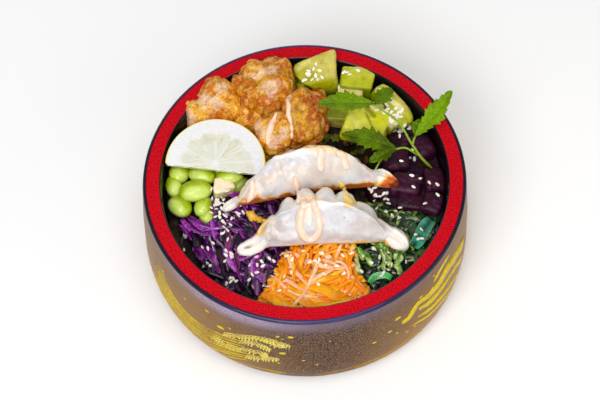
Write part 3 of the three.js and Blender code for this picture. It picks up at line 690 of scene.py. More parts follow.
# how far the top is above the bed, at the middle of the bowl and at its wall, and the outline
HEAPS = {
    "soybeans": (3, 2.5, [(-79, -8), (-79, 7), (-77, 20), (-56, 26), (-33, 16), (-31, 3), (-47, 3), (-52, -1),
                          (-55, -8), (-60, -16), (-68, -13), (-73, -14)]),
    "cabbage": (9, 2.5, [(-73, -16), (-67, -13.5), (-60, -17), (-54, -8), (-51, 0), (-30, 3), (-8, 17),
                         (22, 20), (28, 6), (26, -12), (12, -24), (-9, -36), (-14, -42), (-20, -54),
                         (-25, -67), (-28, -72), (-45, -62), (-62, -45)]),
    "carrot": (10, 12, [(-13, -41), (-9, -36), (12, -23), (26, -12), (27, -40), (27, -50), (32, -61),
                        (35, -70), (20, -76), (0, -78), (-18, -76), (-28, -71), (-22, -60)]),
    "seaweed": (7, 5, [(27, -40), (27, -14), (38, -7), (52, -14), (66, -17), (77, -17), (74, -32), (62, -50),
                       (48, -63), (35, -71), (32, -60), (28, -50)]),
}


def heap_top(kind, x, y):
    """The height that a heap is laid to."""
    inner, outer, _ = HEAPS[kind]
    return bed_top(y) + inner + (outer - inner) * (x * x + y * y) / WELL_RADIUS**2


def on_heap(kind, path):
    """Points of the picture as (x, y) on top of a heap."""
    flat = []
    for x, y in path:
        way, z = sight(x, y), 62.0
        for _ in range(4):
            at = EYE + way * (z - EYE[2]) / way[2]
            z = heap_top(kind, at[0], at[1])
        flat.append(at[:2])
    return flat


def inside(outline, x, y):
    """Whether each (x, y) is inside a closed line of points."""
    x, y = np.asarray(x), np.asarray(y)
    result = np.zeros(x.shape, bool)
    for a, b in zip(outline, np.roll(outline, -1, axis=0)):
        if a[1] != b[1]:
            cross = (b[0] - a[0]) * (y - a[1]) / (b[1] - a[1]) + a[0]
            result ^= ((a[1] > y) != (b[1] > y)) & (x < cross)
    return result


def core(kind, sunk, dark, light):
    """The lumpy body of a heap, from its outline up to a little below its top, coloured darker than the
    strips on it as painted shade in the gaps between them.
    """
    shore = through(HEAPS[kind][2], 120, closed=True)
    middle = shore.mean(0)
    rings = []
    for share in (*np.linspace(0.02, 0.94, 34), 0.97, 0.99, 1.0):
        flat = middle + (shore - middle) * share
        p = level(flat, heap_top(kind, *flat.T) - sunk)
        p[:, 2] += (1.1 * fractal(p, 7, 3, 11) - 0.4) * (share < 0.96)
        p[:, 2] -= 1.6 * step(share, 0.9, 1.0)
        rings.append(p)
    rings.append(level(shore, bed_top(shore[:, 1]) - 0.6))
    points, faces = tube(rings[::-1])
    # painted shade: the core's dark colours show in the gaps between the strips
    return points, faces, coats(srgb(*dark), (light, blotches(points, 4, 3, 12, -0.2, 0.7)))


class Field:
    """Heights over the bowl, which grow as strands are laid."""

    PITCH, REACH = 0.5, 90
    ROUNDS, DROOP = 14, 0.8  # of settling, and how far an end may hang below the point next to it
    PRESS, SLACK = 0.35, 0.02  # how far a strand sinks in, as a share of its thickness, and how it sags

    def __init__(self, kind, sunk):
        line = np.arange(-self.REACH, self.REACH, self.PITCH)
        x, y = np.meshgrid(line, line, indexing="ij")
        edge = np.array(HEAPS[kind][2], float)
        self.height = np.where(inside(edge, x, y), heap_top(kind, x, y) - sunk, bed_top(y))
        p = np.stack([x.ravel(), y.ravel(), np.zeros(x.size)], 1)
        self.height += 0.8 * fractal(p, 7, 2, 11).reshape(x.shape)

    def index(self, flat):
        """The cells under points at (x, y)."""
        cells = ((flat + self.REACH) / self.PITCH).astype(int)
        cells = np.clip(cells, 0, self.height.shape[0] - 1)
        return cells[..., 0], cells[..., 1]

    def lay(self, flat, across, width, thick):
        """Rests a strand on what is there, and adds it to the heights."""
        offsets = np.linspace(-0.5, 0.5, 5)[:, None, None] * width[None, :, None] * across[None]
        cells = self.index(flat[None] + offsets)
        under = self.height[cells].max(0) - self.PRESS * thick
        z = under.copy()
        for _ in range(self.ROUNDS):
            z[1:-1] = np.maximum(under[1:-1], 0.5 * (z[:-2] + z[2:]) - self.SLACK)
            z[0] = max(under[0], z[1] - self.DROOP)
            z[-1] = max(under[-1], z[-2] - self.DROOP)
        np.maximum.at(self.height, cells, np.broadcast_to(z + thick, cells[0].shape))
        return z + thick / 2


ROUNDED = [(-1, 0), (-0.92, -0.85), (0, -1), (0.92, -0.85), (1, 0), (0.92, 0.85), (0, 1), (-0.92, 0.85)]
SHARP = [(-1, 0), (0, -1), (1, 0), (0, 1)]


def ribbon(line, width, thick, roll, up=(0, 0, 1), cup=0.0, section=ROUNDED):
    """A strip along a line. roll tilts it about its own length, in radians, and cup bends it across."""
    across, over = frame_of(line, up)
    c, s = np.cos(roll)[:, None], np.sin(roll)[:, None]
    across, over = c * across + s * over, c * over - s * across
    width, thick = (np.broadcast_to(size, len(line))[:, None] for size in (width, thick))
    return tube(np.stack([line + across * a * width / 2 + over * (u * thick / 2 + cup * width * (a * a - 0.4))
                          for a, u in section], 1))


def longest_run(keep):
    """The first and last index of the longest stretch that is kept."""
    turns = np.flatnonzero(np.diff(np.concatenate([[0], keep.astype(int), [0]])))
    if not len(turns):
        return 0, 0
    longest = np.argmax(turns[1::2] - turns[::2])
    return turns[2 * longest], turns[2 * longest + 1]


def strands(kind, seed, count, length, width, thick, heading, sway, bend, colours, sunk, limit, roll=0.5,
            wave=0.0, lift=0.0, edge=None, region=None, paths=None, margin=1.5, spread=2.0, cup=0.12,
            frill=0.0):
    """Strips heaped over a core, each resting on those before it and none higher over the heap than limit.
    Lengths, widths and thicknesses are drawn between two values. The strips run about a heading in degrees,
    swayed and bent by up to the next two, or beside one of the paths. colours is a list of (weight, darker,
    lighter)."""
    clear_of_wall, fewest = 79.3, 8
    rng = np.random.default_rng(seed)
    field = Field(kind, sunk)
    outline = np.array(HEAPS[kind][2], float)
    middle = outline.mean(0)
    wide = middle + (outline - middle) * (1 + margin / 25)
    shares = np.array([c[0] for c in colours]) / sum(c[0] for c in colours)
    shapes = []
    tries = 0
    while len(shapes) < count and tries < 40 * count:
        tries += 1
        if paths:
            flat = through(paths[rng.integers(len(paths))], 60)
            first = int(rng.uniform(0, 22))
            flat = flat[first : first + int(rng.uniform(22, 38))]
            s = np.linspace(-1, 1, len(flat))
            aside = rng.normal(0, spread) + rng.normal(0, 1.2) * s
            aside = aside + wave * rng.uniform(-1, 1) * np.sin(5 * s + rng.uniform(0, 6))
            flat = flat + flat_frame(flat)[1] * aside[:, None]
        else:
            at = rng.uniform(outline.min(0), outline.max(0))
            if not inside(outline, *at) or (region is not None and not region(*at)):
                continue
            long = rng.uniform(*length)
            n = max(10, int(long / 1.3))
            s = np.linspace(-1, 1, n)
            turn = math.radians((heading(*at) if callable(heading) else heading) + sway * rng.uniform(-1, 1))
            curve = rng.uniform(-1, 1) * s + wave * rng.uniform(-1, 1) * np.sin(4 * s)
            curve = turn + math.radians(bend) * curve
            flat = np.cumsum(np.stack([np.cos(curve), np.sin(curve)], 1) * long / (n - 1), 0)
            flat += at - flat[n // 2]
        first, last = longest_run(inside(wide, *flat.T) & (np.hypot(*flat.T) < clear_of_wall))
        if last - first < min(fewest, len(flat)):
            continue
        flat = flat[first:last]
        n = len(flat)
        s = np.linspace(-1, 1, n)
        w = rng.uniform(*width) * (0.3 + 0.7 * (1 - np.abs(s) ** 5) ** 0.6)
        w = w * (1 + 0.25 * wander(tries, s * n / 5))
        w = w * (1 + frill * np.sin(np.arange(n) * 2.4 + tries))
        t = rng.uniform(*thick)
        before = field.height.copy()
        z = field.lay(flat, flat_frame(flat)[1], w, t)
        if (z - heap_top(kind, *flat.T)).max() > limit:
            field.height = before
            continue
        z = z + lift * rng.uniform(-0.4, 1) * np.clip(np.abs(s) - 0.6, 0, 1) ** 2 * 6
        tilt = roll * rng.uniform(-1, 1) + roll * rng.uniform(-1, 1) * s
        points, faces = ribbon(level(flat, z), w, t * (0.6 + 0.4 * (1 - s**4)), tilt,
                               cup=cup * rng.uniform(-0.4, 1))
        _, dark, light = colours[rng.choice(len(colours), p=shares)]
        tone = coats(srgb(*dark), (light, blotches(points, 4, 3, len(shapes), -0.4, 0.5)))
        # a pale edge along one side of each strip: partly the shred's whitish cut edge, partly a painted
        # highlight
        if edge is not None:
            pale_edge_sheen = np.tile([1, 0.6, 0, 0, 0, 0, 0, 0.8], n)
            tone = coats(tone, (edge, rng.uniform(0, 0.4) * pale_edge_sheen))
        shapes.append((points, faces, tone))
    return shapes


def heap(name, kind, sunk, dark, light, layers, material, blades=()):
    """A core under layers of strands. A layer is what strands takes after the kind, with its options last."""
    shapes = [core(kind, sunk, dark, light)]
    for *layer, options in layers:
        shapes += strands(kind, *layer, **options)
    piece(name, *join([*shapes, *blades]), material, kind, [kind])


# middle, size and turn, then how much of the bean has the painted pale highlight and how dull it is
BEANS = [
    ((-71.5, 12.5, 59), (12, 14, 10), 0, 0.35, 0), ((-58.5, 10.5, 59.5), (16.5, 12, 10), -20, 0.45, 0),
    ((-74.5, 4.5, 57.5), (10, 14, 10), 14, 0.6, 0), ((-62, -1, 61.5), (19, 13.5, 11), 8, 0.5, 0),
    ((-71, -8.5, 57.5), (15, 12.5, 10), -42, 0.4, 0), ((-58, -8.5, 57), (10, 14, 9), -15, 0.3, 0),
    ((-56, -14, 55), (9, 11, 8), 10, 0.25, 0), ((-42.5, 8.5, 60), (16, 10, 9.5), -5, 0.3, 0),
    ((-36.5, 4.5, 57.5), (11, 9, 9), 40, 0.05, 1), ((-47, 16, 57), (13, 10, 9), 30, 0.1, 0.4),
    ((-63, 19, 57), (14, 10, 9), 10, 0.1, 0.4),
]


def soybeans():
    """Shelled green soybeans on a low heap."""
    shapes = [core("soybeans", 2.5, (20, 20, 8), (60, 64, 16))]
    for i, (at, size, turn, pale, dull) in enumerate(BEANS):
        p, faces = ball(17)
        x, y, z = p.T
        dent = 0.05 * np.exp(-((x - 0.1) ** 2) / 0.12 - ((y + 0.9) ** 2) / 0.16)
        p = p * (1 - dent[:, None] + 0.03 * noise(p, 0.7, i)[:, None])
        lit = 0.5 * z - 0.85 * y + 0.2 * noise(p, 0.8, i + 30)
        streaks = step(wander(i + 40, x * 4.5, y * 0.8, z * 0.8), 0.1, 0.7)
        # the pale mint on the near upper side is a painted highlight, and the darker green low on the bean is
        # painted shade
        tone = coats(
            srgb(164, 184, 0),
            ((216, 234, 128), (0.25 + pale) * step(lit, 0.3, 0.75)),
            ((90, 132, 0), 0.9 * step(0.55 - z, 0.1, 0.9)),
            ((196, 222, 60), 0.4 * streaks * step(z, 0.2, 0.7)),
            ((112, 122, 40), 0.7 * dull),
        )
        shapes.append((placed(p * np.array(size) * 0.5, (0, 0, turn), at), faces, tone))
    skin = surface("soybean_skin", rough=0.28, mottle=(2.5, 0.08), relief=[(2.2, 0.12)], under=(0.3, 2.5),
                   coat=0.3, coat_rough=0.08)
    piece("soybean_heap", *join(shapes), skin, "soybean", ["soybeans"])


def cabbage():
    """Shreds of red cabbage: broad torn strips, painted dark as shade at the wall and between them, and
    violet where they catch the light.
    """
    bright = [(5, (108, 2, 122), (168, 34, 168)), (3, (62, 0, 72), (114, 10, 116)),
              (1, (150, 84, 180), (216, 160, 232)), (2, (84, 20, 64), (128, 44, 96)),
              (5, (14, 0, 20), (38, 2, 46))]
    dark = [(5, (16, 0, 20), (44, 6, 48)), (2, (52, 6, 64), (92, 18, 102)), (2, (50, 16, 36), (84, 34, 56))]
    vivid = [(3, (122, 0, 132), (184, 36, 180)), (2, (78, 0, 90), (130, 12, 130))]
    torn = [on_heap("cabbage", path) for path in (
        [(192, 243), (199, 252), (206, 264), (213, 277)], [(197, 241), (207, 250), (216, 262), (222, 274)],
        [(176, 218), (185, 227), (195, 235), (206, 241)], [(188, 213), (197, 223), (207, 231), (216, 237)],
        [(263, 252), (257, 262), (258, 272), (262, 282)], [(238, 257), (249, 256), (260, 252), (268, 250)],
        [(246, 260), (241, 270), (236, 280), (233, 288)], [(222, 246), (230, 254), (232, 266), (238, 276)],
    )]

    def shaded(x, y):
        return (math.hypot(x, y) > 63 and y < -24) or x > -14 or y > 2 or (x > -36 and y > -26)

    def lit(x, y):
        return not shaded(x, y)

    pale_edge_highlight = (226, 170, 236)
    # painted shade: the dark strips, laid lowest and in the shaded region by the wall, and the near-black
    # ones among the bright strips
    layers = [
        (21, 60, (10, 22), (3.0, 6.5), (0.5, 0.8), -45, 85, 60, dark, 4.5, -0.3, dict(roll=0.9)),
        (23, 80, (8, 20), (2.6, 6.0), (0.5, 0.9), -50, 60, 60, dark, 3.2, 1.6,
         dict(roll=1.0, region=shaded, lift=0.3, margin=3)),
        (22, 60, (10, 26), (2.2, 5.0), (0.5, 0.9), -50, 55, 55, bright, 3.2, 3.4,
         dict(roll=0.9, wave=0.4, lift=0.5, edge=pale_edge_highlight, cup=0.2, region=lit)),
        (24, 26, (12, 30), (1.2, 2.4), (0.6, 1.0), -55, 70, 70, bright + dark, 2.4, 3.8,
         dict(roll=1.0, wave=0.5, lift=0.6, edge=pale_edge_highlight, region=lit)),
        (25, 30, (10, 26), (2.2, 4.4), (0.5, 0.8), 0, 0, 0, vivid, 1.4, 4.6,
         dict(roll=0.7, lift=0.4, spread=0.8, cup=0.25, edge=(236, 190, 246), paths=torn)),
    ]
    shred = surface("cabbage_shred", rough=0.34, mottle=(1.2, 0.45), relief=[(1.1, 0.3)], coat=0.45,
                    coat_rough=0.08, under=(0.1, 1.0), specular=0.2)
    heap("cabbage_shreds", "cabbage", 4.5, (10, 2, 12), (30, 6, 32), layers, shred)


def carrot():
    """Grated carrot, finer towards the middle of the bowl and in wide flat slices at the rim."""
    shreds = [(6, (255, 150, 14), (255, 176, 50)), (3, (255, 178, 122), (255, 210, 168)),
              (3, (255, 134, 0), (255, 158, 10)), (2, (255, 186, 40), (255, 208, 92))]
    slices = [(3, (255, 156, 4), (255, 180, 16)), (1, (255, 138, 0), (255, 160, 4))]

    def running(x, y):
        return 70 if y > -52 else 5

    layers = [
        (31, 50, (14, 34), (2.0, 3.4), (0.7, 1.1), 10, 85, 45, shreds, 4.6, -0.5, dict(roll=0.35)),
        (33, 34, (16, 34), (3.6, 6.0), (0.8, 1.2), -12, 30, 30, slices, 3.8, 0.8,
         dict(roll=0.3, region=lambda x, y: y < -60 + 0.15 * x)),
        (32, 96, (16, 44), (1.4, 2.7), (0.7, 1.1), running, 60, 60, shreds, 3.0, 2.8,
         dict(wave=0.25, lift=0.7)),
        (34, 12, (16, 30), (1.8, 2.8), (0.8, 1.1), 60, 90, 150, shreds, 2.0, 4.0,
         dict(roll=0.9, lift=1.0, region=lambda x, y: y > -64)),
    ]
    shred = surface("carrot_shred", rough=0.42, mottle=(1.5, 0.07), relief=[(0.9, 0.08)], coat=0.12,
                    coat_rough=0.15, under=(0.2, 2.0), specular=0.2)
    heap("carrot_shreds", "carrot", 4.8, (236, 80, 0), (255, 140, 0), layers, shred)


def blade(path, wide, cup, lift, dark, light):
    """One broad blade of seaweed, along a path of the picture."""
    flat = through(on_heap("seaweed", path), 34)
    s = np.linspace(-1, 1, len(flat))
    line = level(flat, heap_top("seaweed", *flat.T) + lift - 1.2 * s**2)
    width = wide * (0.55 + 0.45 * np.sqrt(1 - 0.98 * s**2))
    points, faces = ribbon(line, width, 0.9, 0.35 - 0.3 * s, cup=cup)
    # painted sheen: both edges of the blade are painted pale mint
    pale_edge_sheen = np.tile([1, 0.5, 0, 0.5], 2 * len(s))
    return points, faces, coats(srgb(*dark), (light, blotches(points, 5, 3, 48, -0.3, 0.5)),
                                ((130, 216, 170), 0.6 * pale_edge_sheen))


def seaweed():
    """Seaweed salad: slippery stems over blades painted dark as the shade beneath them, a teal and a green
    blade, and fine dark fronds.
    """
    stems = [(4, (104, 142, 20), (168, 202, 84)), (2, (48, 112, 34), (104, 170, 70)),
             (3, (156, 184, 92), (208, 222, 156))]
    deep = [(4, (8, 22, 8), (24, 48, 16)), (2, (22, 52, 20), (50, 88, 36)), (1, (44, 84, 20), (88, 128, 44))]
    olive = [(4, (40, 56, 18), (84, 104, 40)), (2, (24, 36, 12), (52, 70, 26)),
             (2, (96, 124, 52), (146, 166, 88))]
    draped = [on_heap("seaweed", path) for path in (
        [(349, 240), (352, 252), (357, 266), (360, 280), (362, 292)],
        [(352, 240), (358, 250), (366, 258), (376, 266)],
        [(374, 236), (381, 246), (388, 256), (393, 266), (396, 276)],
        [(378, 238), (384, 250), (386, 262), (384, 272)],
        [(400, 246), (399, 256), (397, 266), (396, 276)],
        [(406, 236), (404, 248), (402, 258)],
    )]
    layers = [
        # painted shade: the near-black deep colours of the lowest layers stand for the shade under and
        # between the stems
        (41, 70, (10, 26), (3.0, 6.5), (0.4, 0.7), 60, 90, 80, deep, 4.6, -0.2, dict(roll=0.9)),
        (45, 34, (8, 18), (3.0, 6.0), (0.5, 0.8), 60, 90, 90, deep, 3.4, 1.4, dict(roll=1.0, cup=0.3)),
        (46, 74, (5, 11), (1.2, 2.6), (0.4, 0.7), 30, 80, 60, olive, 3.0, 3.2,
         dict(roll=1.1, lift=0.8, frill=0.25, region=lambda x, y: 38 < x < 68 and y > -33)),
        (47, 22, (6, 12), (1.2, 2.4), (0.5, 0.8), 65, 90, 90, deep + stems, 2.6, 2.4,
         dict(roll=1.1, lift=0.8, frill=0.2)),
        (42, 40, (12, 26), (1.3, 3.2), (0.8, 1.3), 65, 45, 90, stems, 1.6, 4.2,
         dict(roll=1.0, wave=0.9, spread=1.1, frill=0.12, cup=0.3, lift=0.4, paths=draped)),
    ]
    teal = blade([(413, 248), (418, 242), (422, 235), (426, 228), (431, 222)], 8.0, 0.25, 3.2,
                 (0, 70, 54), (30, 164, 130))
    green = blade([(369, 284), (373, 280), (379, 278), (386, 278), (391, 280)], 4.0, 0.4, 3.0,
                  (14, 116, 24), (70, 188, 66))
    slippery = surface("seaweed_blade", rough=0.28, mottle=(1.3, 0.4), relief=[(1.3, 0.35)], coat=0.6,
                       coat_rough=0.08, under=(0.12, 1.2))
    heap("seaweed_salad", "seaweed", 4.5, (2, 8, 4), (10, 26, 14), layers, slippery, (teal, green))


# torn leaf and crumbs on the bed: the middle and half size of each scatter in millimetres, how many, how tall
LITTER = [((12, 34), (17, 14), 44, 4.5), ((36, 26), (12, 9), 16, 3.0), ((-66, -20), (7, 8), 10, 2.0),
          ((40, -4), (12, 7), 14, 1.5), ((66, 12), (12, 26), 18, 1.0), ((-44, 22), (26, 10), 16, 2.0)]
LITTER_TONES = [((56, 62, 8), (104, 106, 24)), ((24, 26, 6), (54, 56, 14)), ((70, 42, 12), (124, 84, 34)),
                ((40, 22, 30), (74, 40, 52))]


def bed():
    """The food between the toppings, from the floor of the bowl up, painted near black as the shade in the
    gaps between them.
    """
    around = circle(140)
    rings = [level(around * radius, z)
             for radius, z in ((69, 8.4), (74, 12), (77.2, 18), (78.6, 36), (79.6, 50))]
    for radius in (79.4, *np.linspace(78.6, 1.5, 60)):
        p = level(around * radius, bed_top(around[:, 1] * radius))
        p[:, 2] += 1.3 * fractal(p, 8, 3, 51) * min(1, (80 - radius) / 4)
        rings.append(p)
    points, faces = tube(rings)
    by_beetroot = 1 - step(np.hypot(points[:, 0] - 60, (points[:, 1] - 8) * 0.8), 22, 32)
    # painted shade: the near-black base; the olive blotches and the beetroot stain are the food's own
    tint = coats(srgb(20, 10, 16), ((50, 42, 20), blotches(points, 9, 3, 52, 0.0, 0.6)),
                 ((44, 14, 38), by_beetroot))
    rng = np.random.default_rng(17)
    shapes = [(points, faces, tint)]
    s = np.linspace(-1, 1, 14)
    for middle, half, count, tall in LITTER:
        for _ in range(count):
            x, y = np.clip(rng.normal(0, 0.55, 2), -1, 1) * half + middle
            if np.hypot(x, y) > 72:
                continue
            turn, long = rng.uniform(0, 2 * math.pi), rng.uniform(3, 9)
            line = np.stack([x + math.cos(turn) * s * long / 2, y + math.sin(turn) * s * long / 2,
                             bed_top(y) + rng.uniform(0.2, tall) + rng.uniform(0, 1.5) * (s**2 - 0.5)], 1)
            wide = rng.uniform(2.5, 6) * np.sqrt(np.clip(1.02 - s**2, 0.05, 1))
            wide = wide * (1 + 0.2 * np.sin(s * 9 + long))
            p, f = ribbon(line, wide, 0.6, rng.uniform(-0.8, 0.8) + 0.5 * s, cup=rng.uniform(-0.2, 0.3))
            low, high = LITTER_TONES[rng.integers(len(LITTER_TONES))]
            shapes.append((p, f, coats(srgb(*low), (high, blotches(p, 3, 2, 7, -0.4, 0.5)))))
    wet = surface("wet_bed", rough=0.5, mottle=(2.5, 0.4), relief=[(2.2, 0.6)], specular=0.15)
    piece("bed_of_food", *join(shapes), wet, "bed_food", ["bed"])


# ---- Lemon ----

LEMON_RADIUS, LEMON_THICK, BEYOND_MIDDLE = 28.4, 7.5, 4.5
MEMBRANES = np.radians([-20, 11, 39, 68, 96, 128, 158, 190, 222, 262, 300])


def lemon_face(x, y):
    """Height and colour of the lemon's face: pulp in segments, fine membranes, pith and peel."""
    r = np.hypot(x, y)
    phi = np.mod(np.arctan2(y, x), 2 * math.pi)
    gap = np.abs((phi[:, None] - np.mod(MEMBRANES, 2 * math.pi) + math.pi) % (2 * math.pi) - math.pi)
    near, second = np.sort(gap, axis=1)[:, :2].T
    inner = np.clip((second - near) / 0.52, 0, 1) ** 2.5
    aside = (phi + math.pi) % (2 * math.pi) - math.pi
    rounded = 20.2 - 2.6 * inner + 3.4 * np.exp(-(((aside + 0.15) / 0.45) ** 2))
    p = np.stack([x, y, 0 * x], 1)
    membrane = 0.5 * (1 - step(near * r, 0.1, 1.1))
    pulp = step(rounded + 0.25 * noise(p, 3.0, 61) - r, -1.1, 1.6) * step(r, 1.2, 2.6) * (1 - membrane)
    spokes = noise(np.stack([phi * 7, r / 5, 0 * r], 1), 0.8, 62)
    cells = 0.5 + 0.5 * spokes * np.clip(r / 8, 0.2, 1)
    height = -0.3 * pulp + 0.35 * pulp * cells + 0.1 * fractal(p, 2.5, 2, 63) * (1 - pulp)
    return height, coats(
        srgb(231, 231, 230),
        ((216, 215, 192), pulp * (0.6 + 0.3 * cells)),
        ((198, 195, 160), pulp * step(spokes, 0.2, 0.7) * 0.4),
        ((250, 228, 128), step(r, LEMON_RADIUS - 1.2, LEMON_RADIUS - 0.5)),
    )


def lemon():
    """Half a round slice: thin peel, thick pith, and pulp in segments between fine membranes."""
    centre = np.array([0.0, 9.0])
    ways = circle(220)
    dot = ways @ centre
    to_round = -dot + np.sqrt(dot**2 - centre @ centre + LEMON_RADIUS**2)
    with np.errstate(divide="ignore"):
        to_cut = np.where(ways[:, 1] < -1e-6, -(BEYOND_MIDDLE + centre[1]) / ways[:, 1], 1e9)
    reach = 1 / ((to_round**-30.0 + to_cut**-30.0) ** (1 / 30))  # the nearer of the two, with rounded corners
    rings, tones = [], []

    def face(z, shares):
        for share in shares:
            flat = centre + ways * (reach * share)[:, None]
            height, tone = lemon_face(*flat.T)
            rings.append(level(flat, z + height))
            tones.append(tone)

    face(0.0, (0.01, *np.linspace(0.05, 0.975, 24)))
    for share, z in ((0.99, 0.2), (1.0, 0.8), (1.0, 2.4), (1.002, 3.8), (1.0, 5.2), (1.0, 6.7), (0.99, 7.25)):
        flat = centre + ways * (reach * share)[:, None]
        r = np.hypot(*flat.T)
        p = level(flat, z)
        pulp = coats(srgb(250, 246, 222), ((228, 222, 176), step(noise(p, 1.6, 66), -0.2, 0.7)))
        tone = coats(srgb(252, 250, 240), ((250, 212, 70), step(r, LEMON_RADIUS - 1.3, LEMON_RADIUS - 0.5)))
        rings.append(p)
        tones.append(blend(tone, pulp, (1 - step(r, 18.5, 20)) * (flat[:, 1] < 1 - BEYOND_MIDDLE)))
    face(LEMON_THICK, np.linspace(0.975, 0.01, 80))
    points, faces = tube(rings)
    # the cut side slopes back under the slice and is torn along its edge
    cut_side = step(-points[:, 1], 1.0, BEYOND_MIDDLE)
    torn = 0.5 * fractal(points * (1, 0, 0.3), 3, 2, 65)
    points[:, 1] += cut_side * (3.2 * (1 - points[:, 2] / LEMON_THICK) + torn)
    points[:, 2] += 0.5 * noise(points * (1, 1, 0), 26, 64)
    points = placed(points, (4, 0, -9), (-50, 10.8, 65.5))
    wet = surface("lemon_flesh", rough=0.3, mottle=(1.8, 0.05), relief=[(0.9, 0.12)], under=(0.35, 3.0),
                  coat=0.35, coat_rough=0.15)
    piece("lemon_slice", points, faces, np.concatenate(tones), wet, "lemon", ["lemon"])


# ---- Dumplings ----

# The outline of a slice through the body and through an ear, as shares of half its width and of its height.
# It starts at the near side's foot and goes over the crest, and the names are indexes into it.
SECTION = [(-0.84, 0), (-1, 0.22), (-0.86, 0.5), (-0.44, 0.76), (-0.12, 0.9), (-0.05, 1), (0.06, 1),
           (0.16, 0.84), (0.72, 0.68), (1.1, 0.4), (0.84, 0)]
EAR = [(-0.62, 0), (-1, 0.3), (-0.92, 0.72), (-0.55, 1), (-0.26, 0.96), (-0.08, 0.4), (0.08, 0.4),
       (0.26, 0.96), (0.6, 1), (1, 0.45), (0.62, 0)]
PINCHED, CREST, PLEATED = (4, 5, 6, 7), (5, 6), (8, 9)
NECK = 0.86  # share of half the length where the body has closed to its ears
PLEATS = 8.3
FILM = 2.6  # half the thickness of the dough where it is shut
ROUND_SIDES = 80

# sauce that has soaked into the dough: middle and half size in the picture, colour and share
STAINS = {
    "steamed_dumpling_back": [
        (316, 148, 18, 4, (255, 214, 160), 0.8), (340, 152, 9, 4, (255, 200, 110), 0.8),
        (276, 168, 4, 6, (222, 206, 196), 0.5),
    ],
    "steamed_dumpling_front": [
        (257, 224, 12, 11, (250, 196, 84), 0.9), (268, 217, 8, 6, (248, 224, 200), 0.6),
        (306, 199, 15, 5, (255, 214, 160), 0.8), (350, 203, 7, 5, (255, 208, 110), 0.9),
        (344.5, 217.3, 1.0, 0.9, (70, 50, 40), 0.9), (330, 226, 9, 6, (222, 224, 226), 0.5),
        (249, 247.5, 3.2, 1.3, (170, 146, 120), 0.8), (287, 236, 14, 5, (236, 230, 232), 0.6),
    ],
}

DOUGH = surface("dumpling_dough", rough=0.34, mottle=(4, 0.08), relief=[(3.2, 0.4), (1.0, 0.06)],
                under=(0.35, 3.5), coat=0.3, coat_rough=0.1)


